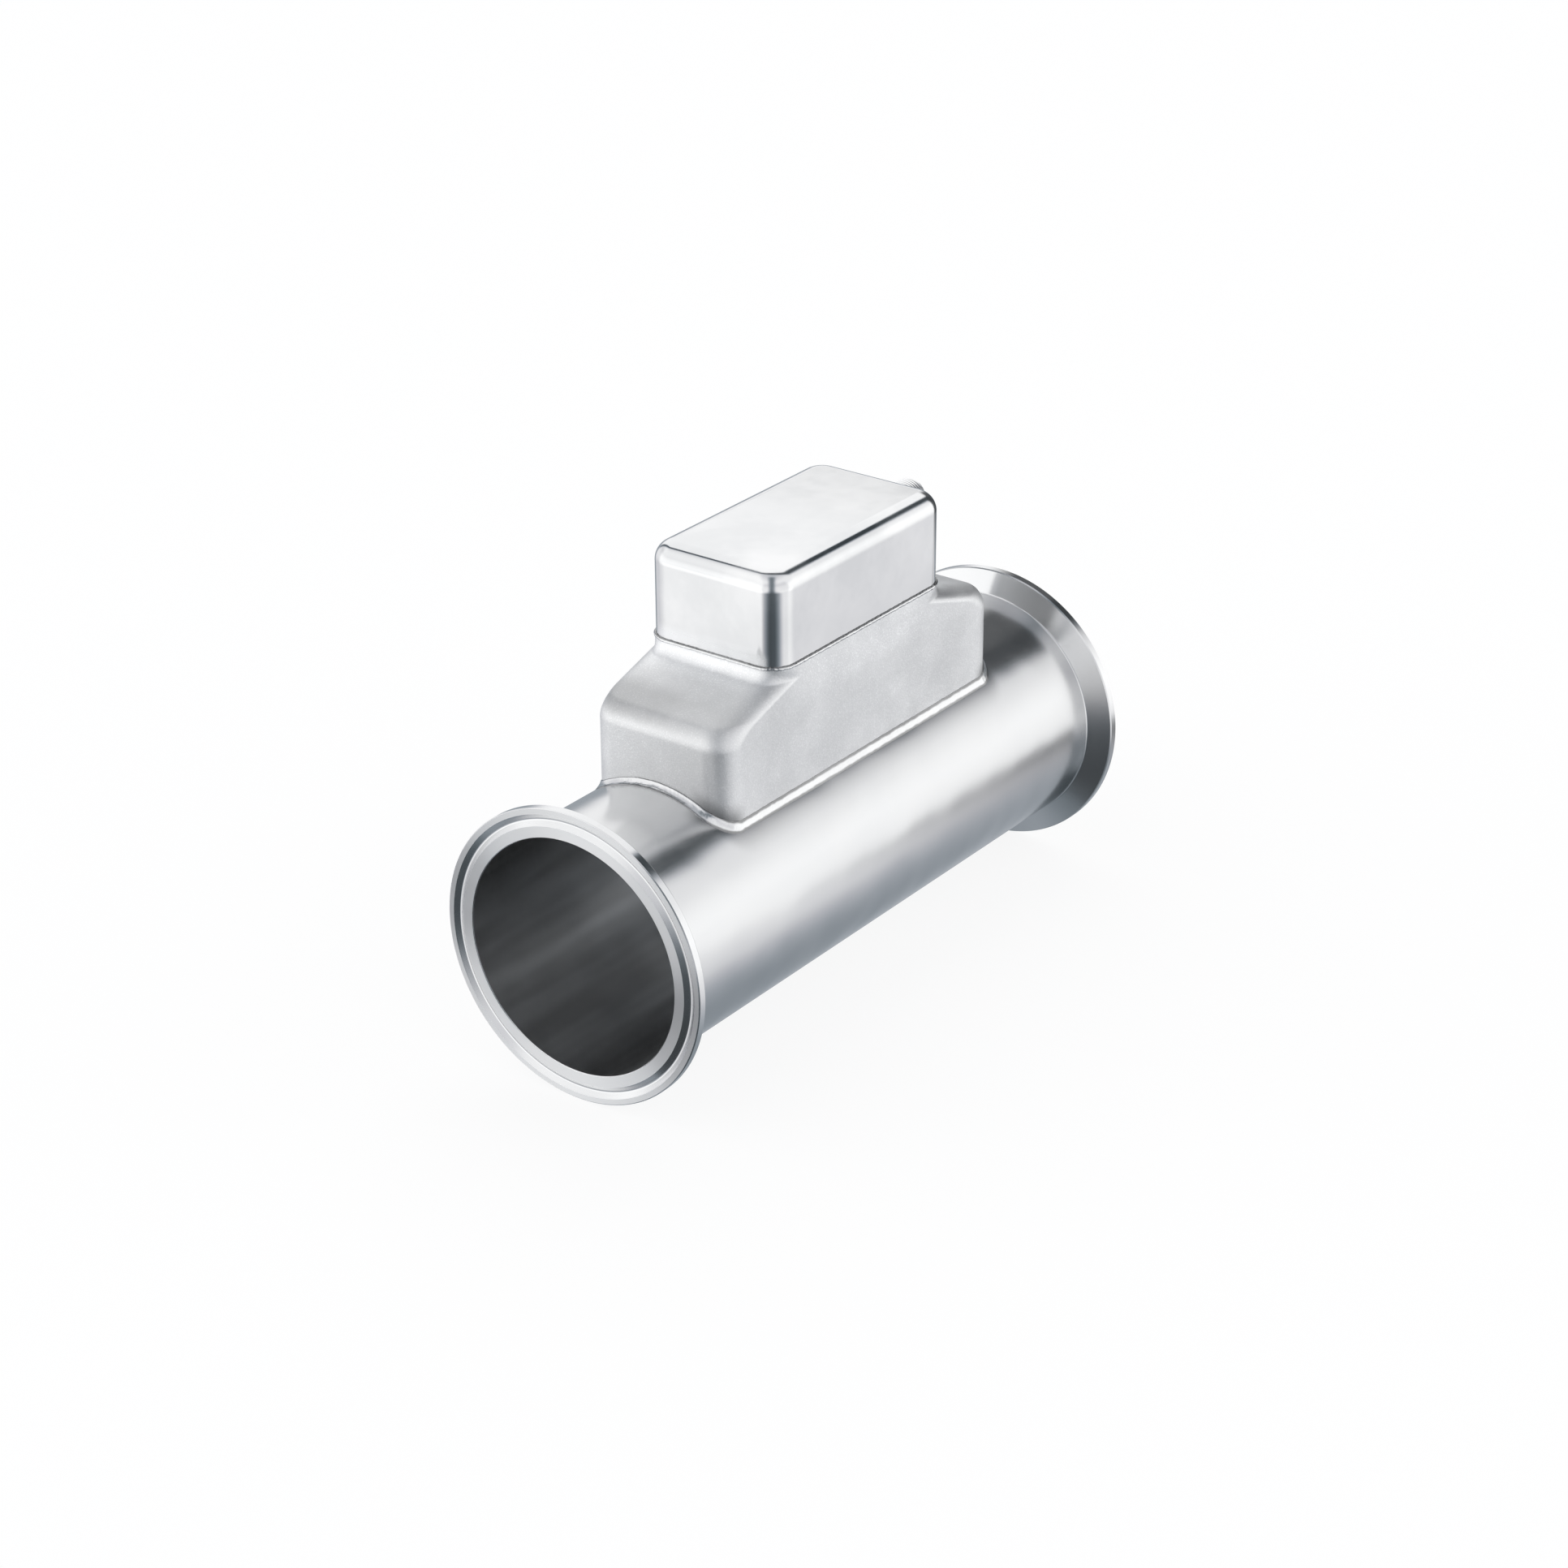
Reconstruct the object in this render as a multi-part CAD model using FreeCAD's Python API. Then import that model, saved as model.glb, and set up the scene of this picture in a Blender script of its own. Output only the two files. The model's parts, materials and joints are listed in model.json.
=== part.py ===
import FreeCAD, Part
import math
import os
from FreeCAD import Vector

# Ultrasonic flow sensor for a hygienic line: a plain measuring tube with a clamp ferrule at each end,
# a saddle housing welded on its crown and a box cap welded on the saddle.
# The flow runs along +X, Z is up through the housing and the origin is on the tube axis at half length.
# All sizes are in millimetres and degrees.

# Flow line
TUBE_OD = 76.2
TUBE_WALL = 1.65
FACE_TO_FACE = 218.0

# Clamp ferrules
RIM_OVERHANG = 7.4
RIM_T = 2.85
BEVEL_DEG = 20.0
FERRULE_LENGTH = 12.7
GROOVE_R = 1.9
GROOVE_DEPTH = 1.3
HUB_ROUND = 1.5
RIM_CHAMFER = 0.3

# Saddle housing
SADDLE_LENGTH = 138.0
SADDLE_WALL = 1.5
SHOULDER_RISE = 20.4
SHOULDER_DEG = 17.0
SHOULDER_ROUND = 7.0
SHOULDER_EDGE_DROP = 4.2
NECK_ROUND = 4.5
NECK_RISE = 3.5
ROUND_STEPS = 5

# Housing cap
CAP_LENGTH = 85.0
CAP_WIDTH = 48.0
CAP_HEIGHT = 29.1
CAP_WALL = 1.2
CAP_CORNER = 8.0
CAP_TOP_ROUND = 6.0

# Weld beads
SEAM_STEP = 0.4
SEAM_BEAD_R = 0.7
BEAD_END_REACH = 2.6
BEAD_SIDE_REACH = 1.1
BEAD_RISE = 1.4
BEAD_ROUND = 1.0

# Plug connector
THREAD_D = 12.0
THREAD_LENGTH = 13.0
THREAD_CHAMFER = 0.5
FLANGE_D = 13.6
FLANGE_T = 2.5
FLANGE_MARGIN = 0.2
SEAL_T = 1.0
SEAL_WIDTH = 1.2
SHANK_D = 10.8
SHANK_INSIDE = 6.0
NUT_ACROSS = 13.0
NUT_T = 3.0
SOCKET_D = 9.0
SOCKET_DEPTH = 9.5
INSERT_TAIL = 1.0
KEY_WIDTH = 1.2
KEY_HEIGHT = 0.6
PIN_D = 1.0
PIN_CIRCLE_D = 5.2
PIN_RECESS = 1.5
PIN_TAIL = 2.0
PIN_CHAMFER = 0.3

# Transducers
SOUND_DEG = 30.7
TRANSDUCER_DEG = 20.0
FLAT_LENGTH = 15.0
FLAT_DEPTH = 0.5
PLATE_T = 0.8
HOLDER_WIDTH = 12.0
HOLDER_HEIGHT = 5.5
HOLDER_WALL = 1.6
HOLDER_ROUND = 1.0
LEAD_D = 1.2
LEAD_RUN = 7.5

# Temperature sensor
BLOCK_LENGTH = 12.0
BLOCK_WIDTH = 10.0
BLOCK_RISE = 6.0
ELEMENT_D = 3.0
ELEMENT_RISE = 3.4
ELEMENT_TAIL = 1.0
TEMP_LEAD_RUN = 12.0

# Board carrier and boards
CARRIER_T = 1.5
CARRIER_FLANGE = 8.0
CARRIER_INSET = 1.0
BOARD_T = 1.6
BOARD_GAP = 3.9
BOARD_CORNER = 2.0
BOARD_BELOW_SEAM = 4.0
CONNECTOR_ROOM = 19.0
STANDOFF_EDGE = 4.0
STANDOFF_ACROSS = 5.0
LOWER_STANDOFF = 5.0
UPPER_STANDOFF = 12.0
STUD_D = 2.5
STUD_LENGTH = 3.0
SPIGOT_D = 3.8
SCREW_HEAD_D = 4.5
SCREW_HEAD_T = 1.8
SCREW_CHAMFER = 0.5
SOCKET_LENGTH = 6.0
SOCKET_WIDTH = 5.0
SOCKET_HEIGHT = 3.5
SOCKET_INSET = 6.0
SOCKET_PITCH_Y = 24.0
LEAD_HOLE_D = 6.0
HEADER_LENGTH = 6.0
HEADER_HEIGHT = 5.0
HEADER_PITCH = 2.0
HEADER_MARGIN = 2.0
HEADER_EXIT = 2.8
WIRE_D = 0.9
WIRE_RUN = 2.0
LINK_LENGTH = 5.0
LINK_WIDTH = 20.0
LINK_INSET = 7.0
SIGNAL_CHIP = 12.0
PROCESSOR_CHIP = 14.0
PROCESSOR_X = -10.0
CHIP_T = 1.5
CHIP_CHAMFER = 0.3
CORE_LENGTH = 12.0
CORE_WIDTH = 10.0
CORE_HEIGHT = 8.0
CORE_X = 6.0
CORE_Y = 9.0
CORE_ROUND = 1.0
CAN_D = 6.3
CAN_HEIGHT = 8.0
CAN_X = -27.0
CAN_Y = 10.0
CAN_CHAMFER = 0.6

# Fit allowances and cutting overlap
HEX_SIDES = 6
CLEARANCE = 0.1
HOLE_CLEARANCE = 0.1
PLATE_CLEARANCE = 0.2
OVERCUT = 1.0
RUN_SHARE = 0.45

# Sizes that follow from the ones above
TUBE_R = TUBE_OD / 2
BORE_R = TUBE_R - TUBE_WALL
END_X = FACE_TO_FACE / 2
TUBE_END_X = END_X - FERRULE_LENGTH
RIM_R = TUBE_R + RIM_OVERHANG
GROOVE_CENTRE_R = TUBE_R + RIM_OVERHANG / 2
SADDLE_HALF = SADDLE_LENGTH / 2
NECK_HALF = CAP_LENGTH / 2 + SEAM_STEP
SADDLE_SIDE = CAP_WIDTH / 2 + SEAM_STEP
SADDLE_CORNER = CAP_CORNER + SEAM_STEP
SADDLE_INSIDE = SADDLE_SIDE - SADDLE_WALL
REACH = SADDLE_HALF - NECK_HALF
SHOULDER = math.radians(SHOULDER_DEG)
SHOULDER_Z = TUBE_R + SHOULDER_RISE
SHOULDER_TURN = math.pi / 2 - SHOULDER
SHOULDER_STRETCH = SHOULDER_EDGE_DROP / math.tan(SHOULDER) / SADDLE_CORNER
NECK_Z = SHOULDER_Z + REACH * math.tan(SHOULDER)
SEAM_Z = NECK_Z + NECK_RISE
CAP_TOP_Z = SEAM_Z + CAP_HEIGHT
CAP_END_X = CAP_LENGTH / 2
CAP_INSIDE_X = CAP_END_X - CAP_WALL
CONNECTOR_Z = CAP_TOP_Z - CAP_TOP_ROUND - FLANGE_MARGIN - FLANGE_D / 2
FLANGE_X = CAP_END_X + SEAL_T
THREAD_X = FLANGE_X + FLANGE_T
CONNECTOR_END_X = THREAD_X + THREAD_LENGTH
SHANK_END_X = CAP_INSIDE_X - SHANK_INSIDE
INSERT_END_X = SHANK_END_X - INSERT_TAIL
INSERT_FACE_X = CONNECTOR_END_X - SOCKET_DEPTH
PIN_END_X = INSERT_END_X - PIN_TAIL
FLAT_R = TUBE_R - FLAT_DEPTH
SOUND_REACH = 2 * BORE_R * math.tan(math.radians(SOUND_DEG))
HOLDER_LENGTH = FLAT_LENGTH - 2 * PLATE_CLEARANCE
ELEMENT_Z = TUBE_R + ELEMENT_RISE
ELEMENT_END_X = BLOCK_LENGTH / 2 + ELEMENT_TAIL
TEMP_LEAD_X = ELEMENT_END_X + TEMP_LEAD_RUN
BOARD_HALF = NECK_HALF - SADDLE_WALL - BOARD_GAP
BOARD_SIDE = SADDLE_INSIDE - BOARD_GAP
FRONT_Z = SEAM_Z - BOARD_BELOW_SEAM
FRONT_TOP_Z = FRONT_Z + BOARD_T
MAIN_Z = FRONT_TOP_Z + UPPER_STANDOFF
MAIN_TOP_Z = MAIN_Z + BOARD_T
MAIN_END_X = CAP_INSIDE_X - CONNECTOR_ROOM
STANDOFF_X = MAIN_END_X - STANDOFF_EDGE
STANDOFF_Y = BOARD_SIDE - STANDOFF_EDGE
CARRIER_Z = FRONT_Z - LOWER_STANDOFF
CARRIER_HALF = BOARD_HALF - CARRIER_INSET
SOCKET_X = BOARD_HALF - SOCKET_INSET
SOCKET_Y = SOCKET_PITCH_Y / 2
SOCKET_Z = FRONT_Z - SOCKET_HEIGHT

X_AXIS = Vector(1, 0, 0)
Y_AXIS = Vector(0, 1, 0)
Z_AXIS = Vector(0, 0, 1)
ORIGIN = Vector(0, 0, 0)
SIDES = (("left", 1), ("right", -1))
STATIONS = (("inlet", -1), ("outlet", 1))


def rod_x(diameter, x_from, x_to, y=0, z=0):
    """Round bar along X."""
    return Part.makeCylinder(diameter / 2, x_to - x_from, Vector(x_from, y, z), X_AXIS)


def rod_z(diameter, z_from, z_to, x=0, y=0):
    """Round bar along Z."""
    return Part.makeCylinder(diameter / 2, z_to - z_from, Vector(x, y, z_from), Z_AXIS)


def block(length, width, height, x=0, y=0, z=0):
    """Box centred on x and y that stands on z."""
    return Part.makeBox(length, width, height, Vector(x - length / 2, y - width / 2, z))


def hexagon(across, direction, height, base):
    """Six-sided bar that stands on base and runs in direction."""
    side = Y_AXIS
    other = direction.cross(side)
    corner_r = across / 2 / math.cos(math.pi / HEX_SIDES)
    corners = []
    for step in range(HEX_SIDES + 1):
        turn = 2 * math.pi * step / HEX_SIDES
        corners.append(base + side * corner_r * math.cos(turn) + other * corner_r * math.sin(turn))
    return Part.Face(Part.makePolygon(corners)).extrude(direction * height)


def circles_at(shape, places):
    """Circular edges of a turned shape that lie at the (x, r) places around the tube axis."""
    edges = []
    for edge in shape.Edges:
        point = edge.Vertexes[0].Point
        r = math.hypot(point.y, point.z)
        for x, ring_r in places:
            if edge.Closed and abs(point.x - x) < CLEARANCE and abs(r - ring_r) < CLEARANCE:
                edges.append(edge)
    return edges


def rounded_outline(half_length, half_width, corner, z):
    """Flat closed outline with round corners, centred on the Z axis."""
    straight_x = half_length - corner
    straight_y = half_width - corner
    centres = (
        Vector(straight_x, straight_y, z),
        Vector(-straight_x, straight_y, z),
        Vector(-straight_x, -straight_y, z),
        Vector(straight_x, -straight_y, z),
    )
    edges = []
    for index, centre in enumerate(centres):
        start = 90 * index
        arc = Part.makeCircle(corner, centre, Z_AXIS, start, start + 90)
        following = centres[(index + 1) % len(centres)]
        shift = arc.Vertexes[1].Point - centre
        edges.append(arc)
        edges.append(Part.makeLine(centre + shift, following + shift))
    return Part.Wire(edges)


def rounded_path(points, radii):
    """Line through the points, with a tangent arc at each inner point."""
    edges = []
    here = points[0]
    for before, corner, after, radius in zip(points, points[1:], points[2:], radii):
        arrive = (corner - before).normalize()
        leave = (after - corner).normalize()
        tangent = radius * math.tan(arrive.getAngle(leave) / 2)
        first = corner - arrive * tangent
        last = corner + leave * tangent
        inward = (leave - arrive).normalize()
        middle = corner + inward * (math.hypot(radius, tangent) - radius)
        edges.append(Part.makeLine(here, first))
        edges.append(Part.Arc(first, middle, last).toShape())
        here = last
    edges.append(Part.makeLine(here, points[-1]))
    return Part.Wire(edges)


def lead(points, diameter):
    """Insulated lead along straight runs and wide tangent bends."""
    radii = []
    for before, corner, after in zip(points, points[1:], points[2:]):
        turn = (corner - before).getAngle(after - corner)
        run = min((corner - before).Length, (after - corner).Length)
        radii.append(RUN_SHARE * run / math.tan(turn / 2))
    path = rounded_path(points, radii)
    section = Part.Wire(Part.makeCircle(diameter / 2, points[0], points[1] - points[0]))
    return path.makePipeShell([section], True, False)


def turned(shape, degrees):
    """Turn a shape around the tube axis, from the crown toward +Y."""
    return shape.rotated(ORIGIN, X_AXIS, -degrees)


def transducer_places():
    """Name, axial place and angle of the transducers: two sound paths, side by side."""
    for station, along in STATIONS:
        for side, across in SIDES:
            yield station + "_" + side, along * SOUND_REACH, across * TRANSDUCER_DEG


def standoff_places():
    """Board fixing points."""
    for along in (-1, 1):
        for across in (-1, 1):
            yield along * STANDOFF_X, across * STANDOFF_Y


def socket_places():
    """Places of the lead sockets under the front-end board."""
    places = []
    for along in (-1, 1):
        for across in (-1, 1):
            places.append((along * SOCKET_X, across * SOCKET_Y))
    places.append((TEMP_LEAD_X, 0))
    return places


def measuring_tube():
    """Plain tube with a shallow milled flat under every transducer."""
    tube = rod_x(TUBE_OD, -TUBE_END_X, TUBE_END_X)
    tube = tube.cut(rod_x(2 * BORE_R, -TUBE_END_X - OVERCUT, TUBE_END_X + OVERCUT))
    for name, x, degrees in transducer_places():
        tube = tube.cut(turned(block(FLAT_LENGTH, TUBE_R, TUBE_R, x, 0, FLAT_R), degrees))
    return tube


def inlet_ferrule():
    """Clamp ferrule: flat face with a round gasket groove, bevelled back and a plain neck."""
    bevel = math.tan(math.radians(BEVEL_DEG)) * RIM_OVERHANG
    groove_half = math.sqrt(GROOVE_R ** 2 - (GROOVE_R - GROOVE_DEPTH) ** 2)
    face_x = -END_X
    hub_x = face_x + RIM_T + bevel
    groove = Part.Arc(
        Vector(face_x, GROOVE_CENTRE_R - groove_half, 0),
        Vector(face_x + GROOVE_DEPTH, GROOVE_CENTRE_R, 0),
        Vector(face_x, GROOVE_CENTRE_R + groove_half, 0),
    ).toShape()
    rim = Part.makePolygon([
        groove.Vertexes[1].Point,
        Vector(face_x, RIM_R, 0),
        Vector(face_x + RIM_T, RIM_R, 0),
        Vector(hub_x, TUBE_R, 0),
        Vector(-TUBE_END_X, TUBE_R, 0),
        Vector(-TUBE_END_X, BORE_R, 0),
        Vector(face_x, BORE_R, 0),
        groove.Vertexes[0].Point,
    ])
    body = Part.Face(Part.Wire([groove] + rim.Edges)).revolve(ORIGIN, X_AXIS, 360)
    body = body.makeFillet(HUB_ROUND, circles_at(body, [(hub_x, TUBE_R)]))
    return body.makeChamfer(RIM_CHAMFER, circles_at(body, [(face_x, RIM_R), (face_x + RIM_T, RIM_R)]))


def outlet_ferrule():
    """The same ferrule at the other end."""
    return inlet_ferrule().mirror(ORIGIN, X_AXIS)


def saddle_section(half_length, half_width, corner, stretch, z):
    """Outline of the inlet half of the saddle at one height. The corner is stretched along the tube
    where the shoulder slopes, so that the shoulder rounds off into the side walls."""
    side_x = corner * stretch - half_length
    front_y = half_width - corner
    widen = FreeCAD.Matrix()
    widen.scale(stretch, 1, 1)
    arc = Part.makeCircle(corner, ORIGIN, Z_AXIS, 90, 180).transformGeometry(widen)
    left = arc.translated(Vector(side_x, front_y, z))
    right = left.mirror(ORIGIN, Y_AXIS)
    corners = [
        Vector(side_x, half_width, z),
        Vector(0, half_width, z),
        Vector(0, -half_width, z),
        Vector(side_x, -half_width, z),
    ]
    front = Part.makeLine(Vector(-half_length, front_y, z), Vector(-half_length, -front_y, z))
    edges = Part.makePolygon(corners).Edges + [left, front, right]
    return Part.Wire(Part.__sortEdges__(edges))


def saddle_form(inset, drop, top_z):
    """Saddle outline as a solid, down to the tube axis: neck, hollow round, sloped shoulder, shoulder round
    and end wall, made for the inlet half and mirrored."""
    tangent = math.tan(SHOULDER_TURN / 2)
    hollow = []
    crest = []
    for step in range(ROUND_STEPS + 1):
        share = step / ROUND_STEPS
        blend = share * share * (3 - 2 * share)
        turn = SHOULDER_TURN * share
        hollow_x = NECK_ROUND * (1 - math.cos(turn))
        hollow_z = NECK_Z + NECK_ROUND * (tangent - math.sin(turn))
        hollow.append((hollow_x, hollow_z - drop, 1 + (SHOULDER_STRETCH - 1) * blend))
        crest_x = REACH - SHOULDER_ROUND * (1 - math.cos(turn))
        crest_z = SHOULDER_Z - SHOULDER_ROUND * (tangent - math.sin(turn))
        crest.append((crest_x, crest_z - drop, 1 + (SHOULDER_STRETCH - 1) * blend))
    crest.reverse()
    neck = [(0, top_z, 1), hollow[0]]
    slope = [hollow[-1], crest[0]]
    wall = [crest[-1], (REACH, -inset, 1)]
    stages = []
    for levels in (neck, hollow, slope, crest, wall):
        outlines = []
        for out, z, stretch in levels:
            outlines.append(saddle_section(
                NECK_HALF + out - inset, SADDLE_SIDE - inset, SADDLE_CORNER - inset, stretch, z))
        stages.append(Part.makeLoft(outlines, True, len(levels) == 2))
    near = stages[0].multiFuse(stages[1:]).removeSplitter()
    return near.fuse(near.mirror(ORIGIN, X_AXIS)).removeSplitter()


def saddle_housing():
    """Sheet housing on the crown of the tube, open at the neck and cut to the round of the tube."""
    drop = SADDLE_WALL * (1 - math.sin(SHOULDER)) / math.cos(SHOULDER)
    shell = saddle_form(0, 0, SEAM_Z).cut(saddle_form(SADDLE_WALL, drop, SEAM_Z + OVERCUT))
    return shell.cut(rod_x(TUBE_OD, -END_X, END_X))


def saddle_weld():
    """Bead around the foot of the saddle that follows the round of the tube."""
    outer_r = TUBE_R + BEAD_RISE
    outside = rounded_outline(
        SADDLE_HALF + BEAD_END_REACH, SADDLE_SIDE + BEAD_SIDE_REACH, SADDLE_CORNER + BEAD_SIDE_REACH, 0)
    wide = Part.Face(outside).extrude(Z_AXIS * RIM_R)
    foot = Part.Face(rounded_outline(SADDLE_HALF, SADDLE_SIDE, SADDLE_CORNER, 0)).extrude(Z_AXIS * RIM_R)
    ring = rod_x(2 * outer_r, -END_X, END_X).cut(rod_x(TUBE_OD, -END_X, END_X))
    bead = ring.common(wide.cut(foot))
    crest = []
    for edge in bead.Edges:
        point = edge.valueAt((edge.FirstParameter + edge.LastParameter) / 2)
        on_ring = abs(math.hypot(point.y, point.z) - outer_r) < CLEARANCE
        inner = foot.distToShape(Part.Vertex(point))[0] < CLEARANCE
        if on_ring and not inner:
            crest.append(edge)
    return bead.makeFillet(BEAD_ROUND, crest)


def cap_form(inset, base_z):
    """Box with round upright corners and a round top edge."""
    outline = rounded_outline(CAP_END_X - inset, CAP_WIDTH / 2 - inset, CAP_CORNER - inset, base_z)
    body = Part.Face(outline).extrude(Z_AXIS * (CAP_TOP_Z - inset - base_z))
    top_edges = []
    for edge in body.Edges:
        if abs(edge.BoundBox.ZMin - (CAP_TOP_Z - inset)) < CLEARANCE:
            top_edges.append(edge)
    return body.makeFillet(CAP_TOP_ROUND - inset, top_edges)


def housing_cap():
    """Drawn cap, open at the seam, with the connector hole in its outlet end."""
    shell = cap_form(0, SEAM_Z).cut(cap_form(CAP_WALL, SEAM_Z - OVERCUT))
    hole_d = SHANK_D + 2 * HOLE_CLEARANCE
    return shell.cut(rod_x(hole_d, CAP_INSIDE_X - OVERCUT, CAP_END_X + OVERCUT, 0, CONNECTOR_Z))


def cap_weld():
    """Thin bead in the step between the neck and the cap."""
    route = rounded_outline(CAP_END_X, CAP_WIDTH / 2, CAP_CORNER, SEAM_Z)
    start = route.Edges[-1].Vertexes[-1].Point
    section = Part.Wire(Part.makeCircle(SEAM_BEAD_R, start, route.Edges[0].tangentAt(0)))
    bead = route.makePipeShell([section], True, False)
    inside = Part.Face(rounded_outline(CAP_END_X, CAP_WIDTH / 2, CAP_CORNER, SEAM_Z - OVERCUT))
    bead = bead.cut(inside.extrude(Z_AXIS * 2 * OVERCUT))
    return bead.cut(saddle_form(0, 0, SEAM_Z))


def connector_shell():
    """Threaded shell with a round flange outside the cap and a shank that passes through its wall."""
    shell = rod_x(SHANK_D, SHANK_END_X, FLANGE_X, 0, CONNECTOR_Z)
    shell = shell.fuse(rod_x(FLANGE_D, FLANGE_X, THREAD_X, 0, CONNECTOR_Z))
    shell = shell.fuse(rod_x(THREAD_D, THREAD_X, CONNECTOR_END_X, 0, CONNECTOR_Z))
    rims = []
    for edge in shell.Edges:
        box = edge.BoundBox
        at_end = abs(box.XMin - CONNECTOR_END_X) < CLEARANCE
        at_flange = abs(box.XMin - THREAD_X) < CLEARANCE and box.ZLength > THREAD_D + CLEARANCE
        if edge.Closed and (at_end or at_flange):
            rims.append(edge)
    shell = shell.makeChamfer(THREAD_CHAMFER, rims)
    return shell.cut(rod_x(SOCKET_D, SHANK_END_X - OVERCUT, CONNECTOR_END_X + OVERCUT, 0, CONNECTOR_Z))


def connector_seal():
    """Flat ring between the flange and the cap."""
    ring = rod_x(SHANK_D + 2 * SEAL_WIDTH, CAP_END_X, FLANGE_X, 0, CONNECTOR_Z)
    return ring.cut(rod_x(SHANK_D, CAP_END_X - OVERCUT, FLANGE_X + OVERCUT, 0, CONNECTOR_Z))


def connector_nut():
    """Thin nut that holds the shank inside the cap."""
    start = Vector(CAP_INSIDE_X - NUT_T, 0, CONNECTOR_Z)
    nut = hexagon(NUT_ACROSS, X_AXIS, NUT_T, start)
    return nut.cut(rod_x(SHANK_D, start.x - OVERCUT, CAP_INSIDE_X + OVERCUT, 0, CONNECTOR_Z))


def pin_places():
    """Contact places around the connector axis and the header position that each one is wired to."""
    offset = PIN_CIRCLE_D / 2 * math.sin(math.radians(45))
    return (
        (-offset, -offset, -2),
        (-offset, offset, -1),
        (0, 0, 0),
        (offset, offset, 1),
        (offset, -offset, 2),
    )


def connector_insert():
    """Insulator with a coding key along the wall of the socket."""
    insert = rod_x(SOCKET_D, INSERT_END_X, INSERT_FACE_X, 0, CONNECTOR_Z)
    key_z = CONNECTOR_Z + SOCKET_D / 2 - KEY_HEIGHT
    key_length = SOCKET_DEPTH - PIN_RECESS
    key = block(key_length, KEY_WIDTH, SOCKET_D, INSERT_FACE_X + key_length / 2, 0, key_z)
    insert = insert.fuse(key.common(rod_x(SOCKET_D, INSERT_FACE_X, CONNECTOR_END_X, 0, CONNECTOR_Z)))
    for y, z, position in pin_places():
        insert = insert.cut(rod_x(PIN_D, INSERT_END_X - OVERCUT, CONNECTOR_END_X, y, CONNECTOR_Z + z))
    return insert


def contact_pins():
    """Contact pins with a chamfered nose."""
    pins = []
    for y, z, position in pin_places():
        pin = rod_x(PIN_D, PIN_END_X, CONNECTOR_END_X - PIN_RECESS, y, CONNECTOR_Z + z)
        noses = [edge for edge in pin.Edges if edge.BoundBox.XMin > INSERT_FACE_X]
        pins.append(pin.makeChamfer(PIN_CHAMFER, noses))
    return Part.makeCompound(pins)


def connector_leads():
    """Short leads from the contacts to the header on the main board."""
    leads = []
    for y, z, position in pin_places():
        header_y = position * HEADER_PITCH
        header_z = MAIN_TOP_Z + HEADER_EXIT
        leads.append(lead([
            Vector(PIN_END_X, y, CONNECTOR_Z + z),
            Vector(PIN_END_X - WIRE_RUN, y, CONNECTOR_Z + z),
            Vector(MAIN_END_X + WIRE_RUN, header_y, header_z),
            Vector(MAIN_END_X, header_y, header_z),
        ], WIRE_D))
    return Part.makeCompound(leads)


def piezo_plate(x, degrees):
    """Ceramic plate bonded on its flat."""
    length = HOLDER_LENGTH - 2 * HOLDER_WALL
    width = HOLDER_WIDTH - 2 * HOLDER_WALL
    return turned(block(length, width, PLATE_T, x, 0, FLAT_R), degrees)


def transducer_holder(x, degrees):
    """Plastic holder that covers the plate, with a pocket below for it."""
    holder = block(HOLDER_LENGTH, HOLDER_WIDTH, HOLDER_HEIGHT, x, 0, FLAT_R)
    uprights = [edge for edge in holder.Edges if edge.BoundBox.ZLength > HOLDER_HEIGHT / 2]
    holder = holder.makeFillet(HOLDER_ROUND, uprights)
    pocket_length = HOLDER_LENGTH - 2 * HOLDER_WALL + 2 * CLEARANCE
    pocket_width = HOLDER_WIDTH - 2 * HOLDER_WALL + 2 * CLEARANCE
    pocket = block(pocket_length, pocket_width, PLATE_T + CLEARANCE, x, 0, FLAT_R)
    return turned(holder.cut(pocket), degrees)


def transducer_lead(x, degrees):
    """Lead from the top of a holder to its socket under the front-end board."""
    start_r = FLAT_R + HOLDER_HEIGHT
    outward = Vector(0, math.sin(math.radians(degrees)), math.cos(math.radians(degrees)))
    start = Vector(x, 0, 0) + outward * start_r
    socket_x = math.copysign(SOCKET_X, x)
    socket_y = math.copysign(SOCKET_Y, degrees)
    bend = Vector(socket_x, socket_y, CARRIER_Z - CARRIER_T - LEAD_RUN)
    return lead([start, start + outward * LEAD_RUN, bend, Vector(socket_x, socket_y, SOCKET_Z)], LEAD_D)


def temperature_block():
    """Metal block that fits the crown of the tube and holds the element."""
    body = block(BLOCK_LENGTH, BLOCK_WIDTH, TUBE_R + BLOCK_RISE, 0, 0, 0)
    body = body.cut(rod_x(TUBE_OD, -END_X, END_X))
    return body.cut(rod_x(ELEMENT_D, -END_X, END_X, 0, ELEMENT_Z))


def temperature_element():
    """Round element in the bore of the block."""
    return rod_x(ELEMENT_D, -ELEMENT_END_X, ELEMENT_END_X, 0, ELEMENT_Z)


def temperature_lead():
    """Lead from the element up through the carrier."""
    return lead([
        Vector(ELEMENT_END_X, 0, ELEMENT_Z),
        Vector(TEMP_LEAD_X, 0, ELEMENT_Z),
        Vector(TEMP_LEAD_X, 0, SOCKET_Z),
    ], LEAD_D)


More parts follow.
